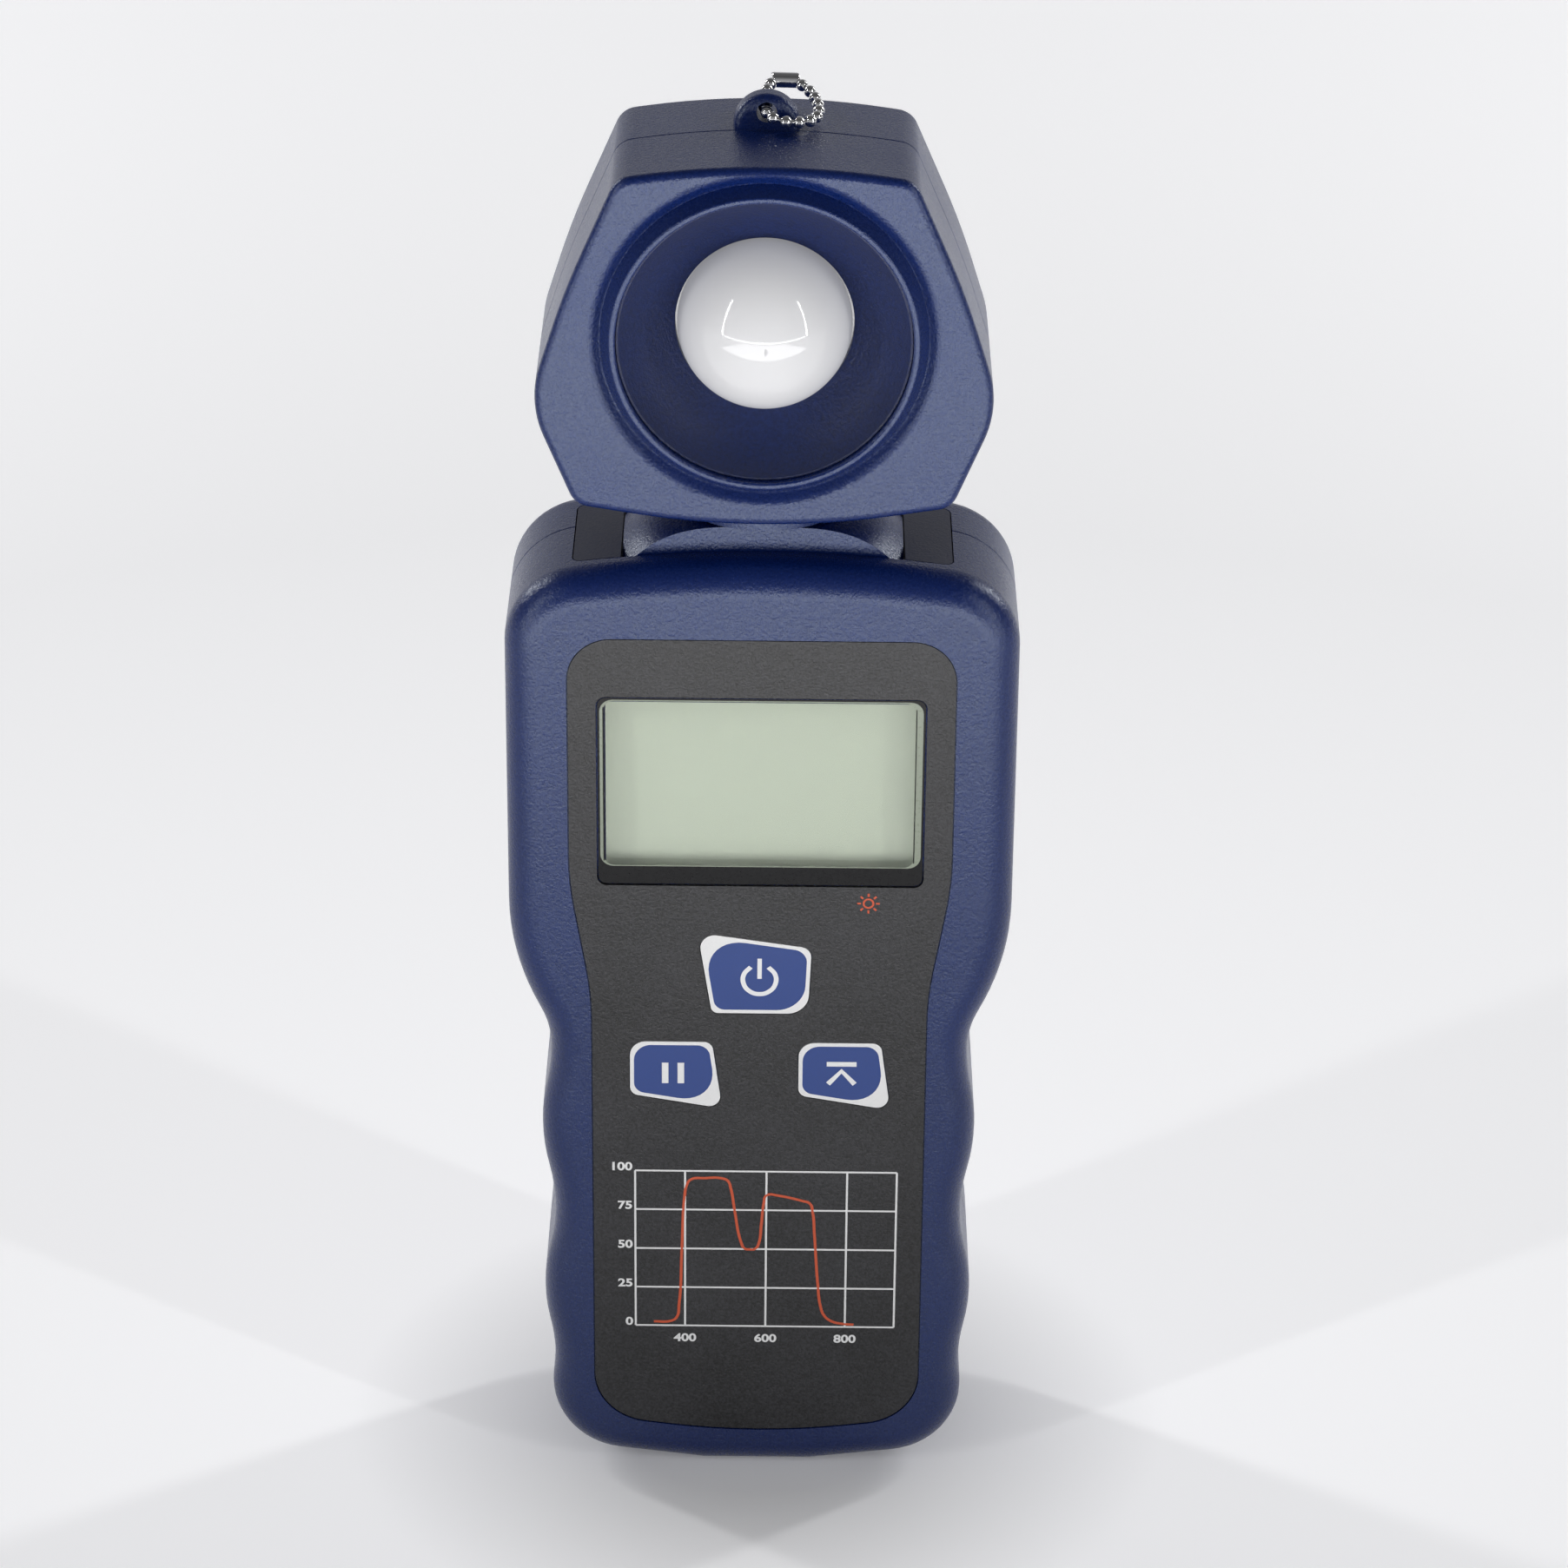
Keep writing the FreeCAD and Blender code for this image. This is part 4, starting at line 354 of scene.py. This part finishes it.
# Up the side each number stands a little above its line, and along the foot it hangs under its line.
BESIDE, ABOVE, BELOW = 0.35, 0.55, 1.9
for text, z in zip(("0", "25", "50", "75", "100"), GRID_Z):
    number(text, GRID_X[0] - BESIDE, z + ABOVE, "RIGHT")
for text, x in zip(("400", "600", "800"), GRID_X[1:4]):
    number(text, x, GRID_Z[0] - BELOW, "CENTER")

# A plain sun sign under the window, in mm: a disc's outline and eight rays.
sun_x, sun_z = 13.6, 84.9
disc, ray = 0.6, (0.95, 1.4)
eighths = [math.radians(45 * count) for count in range(8)]
sixths = [math.radians(60 * count) for count in range(6)]
ink_lines("sun_rays",
          [[(sun_x + reach * math.cos(turn), sun_z + reach * math.sin(turn)) for reach in ray]
           for turn in eighths],
          0.26, orange_ink, "case")
ink_lines("sun_disc",
          [[(sun_x + disc * math.cos(turn), sun_z + disc * math.sin(turn)) for turn in sixths]],
          0.26, orange_ink, "case", closed=True, smooth=True)

# ---------------------------------------------------------------- display
# Clear acrylic pane over a grey-green liquid crystal cell with every segment off, which a nylon frame
# and two elastomer strips hold against the board. On the pane's face lies a thin printed black border,
# widened at the bottom into painted shade; inside it a paler rim is a painted sheen of the pane's
# bevelled edge, and a fine dark line up each side is painted shade.

clear_acrylic = new_material("clear_acrylic", (1.0, 1.0, 1.0), 0.03, IOR=1.49, Transmission_Weight=1.0)
tree = clear_acrylic.node_tree
through = add_node(tree, "ShaderNodeBsdfTransparent", 0, -200)
choice = add_node(tree, "ShaderNodeMixShader", 300, 200, chosen_rays(tree, "Is Shadow Ray"),
                  tree.nodes["Principled BSDF"].outputs["BSDF"], through.outputs["BSDF"])
tree.links.new(choice.outputs["Shader"], tree.nodes["Material Output"].inputs["Surface"])
finish(clear_acrylic, "display_window")

pane_low, pane_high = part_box("display_window")
INK_PROUD = 0.000006
pane_mark_face = pane_low.y - INK_PROUD


def flat_print(name, bm, ink, body):
    """A flat shape, turned to the front, as a print or a painted mark."""
    bmesh.ops.recalc_face_normals(bm, faces=bm.faces)
    if bm.faces[:][0].normal.y > 0:
        bmesh.ops.reverse_faces(bm, faces=bm.faces)
    mesh = bpy.data.meshes.new(name)
    bm.to_mesh(mesh)
    bm.free()
    printed(name, mesh, ink, body)


def pane_edge(bm, left, bottom, right, top, radius, steps=6):
    """A ring of edges on the pane, with rounded corners; the insets from its sides and the radius are
    in mm."""
    low_x, low_z = pane_low.x + left / 1000, pane_low.z + bottom / 1000
    high_x, high_z = pane_high.x - right / 1000, pane_high.z - top / 1000
    radius /= 1000
    points = []
    for x, z, quarter in ((high_x - radius, high_z - radius, 0), (low_x + radius, high_z - radius, 1),
                          (low_x + radius, low_z + radius, 2), (high_x - radius, low_z + radius, 3)):
        for step in range(steps + 1):
            turn = math.radians(90) * (quarter + step / steps)
            points.append(bm.verts.new((x + radius * math.cos(turn), pane_mark_face,
                                        z + radius * math.sin(turn))))
    return [bm.edges.new(pair) for pair in zip(points, points[1:] + points[:1])]


def pane_ring(name, outer, inner, ink):
    """A flat ring laid on the pane between two of its edges."""
    bm = bmesh.new()
    bmesh.ops.bridge_loops(bm, edges=pane_edge(bm, *outer) + pane_edge(bm, *inner))
    flat_print(name, bm, ink, "case")


black_ink_and_shade = grained("black_ink_and_shade", (0.004, 0.004, 0.005), 0.3, depth=0.0, speckle=0.1, Specular_IOR_Level=0.2)
painted_bevel_sheen = grained("painted_bevel_sheen", (0.25, 0.285, 0.22), 0.3, depth=0.0, speckle=0.1)
outer_rim = (0.05, 0.05, 0.05, 0.05, 1.0)
border_rim = (0.3, 2.5, 0.3, 0.3, 1.6)
painted_sheen_rim = (0.75, 2.62, 1.15, 0.45, 1.3)
# the thin border is print, its wide bottom is painted shade, and the paler rim is a painted sheen
pane_ring("pane_border_and_shade", outer_rim, border_rim, black_ink_and_shade)
pane_ring("pane_painted_sheen", border_rim, painted_sheen_rim, painted_bevel_sheen)
line_low, line_high = pane_low.z * 1000 + 3.2, pane_high.z * 1000 - 1.3
# painted shade: a dark line up each side where the pane's bevel meets its flat face
ink_lines("pane_shade_lines",
          [[(x, line_low), (x, line_high)] for x in (pane_low.x * 1000 + 0.75, pane_high.x * 1000 - 1.15)],
          0.14, black_ink_and_shade, "case", face=pane_mark_face)

finish(grained("crystal_cell", (0.315, 0.358, 0.277), 0.6, grain=1500.0, depth=0.0, speckle=0.03),
       "lcd_cell")
white_nylon = grained("white_nylon", (0.72, 0.72, 0.69), 0.5)
finish(white_nylon, "lcd_frame")
finish(grained("elastomer", (0.05, 0.05, 0.055), 0.6, grain=6000.0), "zebra_connectors")

# ---------------------------------------------------------------- keys
# Soft white keys flush with the film. A blue field is printed on each inside a narrow white border,
# which is fuller at one rounded corner, and a white sign stands on the blue.

key_white = grained("key_white", (0.84, 0.84, 0.84), 0.45, grain=4000.0, depth=0.000006, speckle=0.08)
key_blue = grained("key_blue", (0.012, 0.046, 0.225), 0.5, grain=4000.0, depth=0.000006, speckle=0.2)
finish(key_white, "power_key", "hold_key", "peak_key")

WHITE_BORDER = 0.5


def blue_field(key, middle, corners):
    """Flat field inside the key's outline. Each corner is (x, z, rounding) from the key's middle, and
    they run anticlockwise from the top left as seen from the front; all in mm."""
    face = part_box(key)[0].y
    outline = [Vector(corner[:2]) for corner in corners]
    bm = bmesh.new()
    points = []
    for before, here, after in zip(outline[-1:] + outline[:-1], outline, outline[1:] + outline[:1]):
        coming, going = (here - before).normalized(), (after - here).normalized()
        inwards = Vector((-coming.y, coming.x)) + Vector((-going.y, going.x))
        spot = here + inwards * WHITE_BORDER / (1 + coming.dot(going)) + Vector(middle)
        points.append(bm.verts.new((spot.x / 1000, face - INK_PROUD, spot.y / 1000)))
    bm.faces.new(points)
    for point, (*_, rounding) in zip(points, corners):
        bmesh.ops.bevel(bm, geom=[point], affect="VERTICES", offset=rounding / 1000, segments=10,
                        profile=0.5, material=-1)
    flat_print(key + "_field", bm, key_blue, key)


power_x, power_z = 0.0, 74.5
lower_x, lower_z = 10.75, 60.2
lower_outline = ((-5.68, 4.56, 2.2), (-5.68, -3.14, 1.2), (6.09, -5.15, 5.2), (4.76, 4.56, 1.4))
blue_field("power_key", (power_x, power_z),
           ((-7.84, 6.0, 5.5), (-6.02, -5.5, 1.2), (6.16, -5.5, 3.5), (6.54, 3.9, 1.6)))
blue_field("hold_key", (-lower_x, lower_z), lower_outline)
blue_field("peak_key", (lower_x, lower_z), lower_outline)


def key_sign(name, key, middle, runs, width, smooth=False):
    """White lines on a key; runs are in mm from the sign's middle."""
    x, z = middle
    ink_lines(name, [[(x + along, z + up) for along, up in run] for run in runs], width, white_ink,
              key, smooth=smooth)


# Power has a ring that is open at the top, with a bar; hold has two bars; peak has a roof under a
# line. The ring's turns are counted in degrees from the top.
power_sign = (power_x, power_z - 0.6)
hold_sign, peak_sign = (-lower_x - 0.2, lower_z), (lower_x - 0.2, lower_z)
ring_radius = 2.1
ring_turns = [math.radians(turn) for turn in range(32, 329, 37)]
key_sign("power_ring", "power_key", power_sign,
         [[(ring_radius * math.sin(turn), ring_radius * math.cos(turn)) for turn in ring_turns]],
         0.7, smooth=True)
key_sign("power_bar", "power_key", power_sign, [[(0.0, 0.1), (0.0, 3.0)]], 0.66)
key_sign("hold_bars", "hold_key", hold_sign, [[(side, -1.5), (side, 1.5)] for side in (-1.0, 1.0)], 0.95)
key_sign("peak_sign", "peak_key", peak_sign,
         [[(-1.7, -1.4), (0.0, 0.5), (1.7, -1.4)], [(-1.9, 1.5), (1.9, 1.5)]], 0.78)

# ---------------------------------------------------------------- diffuser dome and dish
# The dome is glossy white plastic that lets light through; a painted glow of its own stands in for
# that light and keeps its shaded side bright. The dish round it is moulded in the shells' navy, duller
# and finely grained.

# painted glow: the emission stands in for the light that comes through the dome
finish(grained("diffuser_white", (0.53, 0.53, 0.54), 0.08, grain=900.0, depth=0.0, speckle=0.02,
               Emission_Color=NEUTRAL, Emission_Strength=0.21), "diffuser_dome")
# the dish's navy is darker and less blue than the shells': painted shade in the recess
finish(grained("dish_navy", (0.0045, 0.013, 0.070), 0.42, grain=2200.0, depth=0.0001, speckle=1.5,
               Specular_IOR_Level=0.35), "sensor_dish")

# ---------------------------------------------------------------- swivel
# The spindle and its washer show under the head and are moulded in the same navy; a stop plate and
# a clip of bright spring steel are hidden in the case.

finish(navy_plastic, "neck_spindle", "friction_washer")


def metal(name, colour, roughness, grain=1200.0, speckle=0.1):
    """A metal with hardly any texture."""
    return grained(name, colour, roughness, grain=grain, depth=0.000002, speckle=speckle, Metallic=1.0)


spring_steel = metal("spring_steel", (0.60, 0.60, 0.62), 0.28)
finish(spring_steel, "stop_plate", "retaining_clip")

# ---------------------------------------------------------------- screws, contacts and cells
# Zinc-plated steel screws, coiled contact springs, nickel-plated contact plates with tags to the
# board, and three dry cells in plain grey jackets.

finish(metal("zinc_plate", (0.56, 0.56, 0.58), 0.34), "case_screws", "board_screws", "head_screws",
       "sensor_screws")
finish(spring_steel, "contact_springs")
finish(metal("nickel_plate", (0.68, 0.67, 0.64), 0.22), "battery_contacts")
finish(metal("cell_jacket", (0.36, 0.37, 0.40), 0.38), "battery_cells")

# ---------------------------------------------------------------- boards, sensor and lead
# Green glass-fibre boards with black moulded packages, and a round rubber lead between them, in a
# nylon socket. Under the dome's rubber gasket, a nylon holder keeps a pale filter over the
# photodiode's metal can.

finish(grained("solder_mask", (0.025, 0.15, 0.065), 0.35, grain=900.0), "main_board", "sensor_board")
finish(grained("black_epoxy", (0.02, 0.02, 0.022), 0.5), "board_chips", "key_switches")
finish(grained("black_rubber", (0.026, 0.026, 0.028), 0.6), "sensor_lead", "dome_gasket")
finish(white_nylon, "filter_holder", "lead_socket")
finish(new_material("filter_glass", (0.55, 0.80, 0.82), 0.04, IOR=1.52, Transmission_Weight=1.0),
       "optical_filter")
finish(metal("diode_can", (0.45, 0.43, 0.38), 0.3), "photodiode")

# ---------------------------------------------------------------- ball chain
# Bright plated beads, stamped round short wires, in a loop through the head's lug; a barrel clasp
# joins its ends.

finish(metal("bright_plate", (0.78, 0.78, 0.79), 0.10, grain=3000.0, speckle=0.05), "ball_chain",
       "chain_clasp")
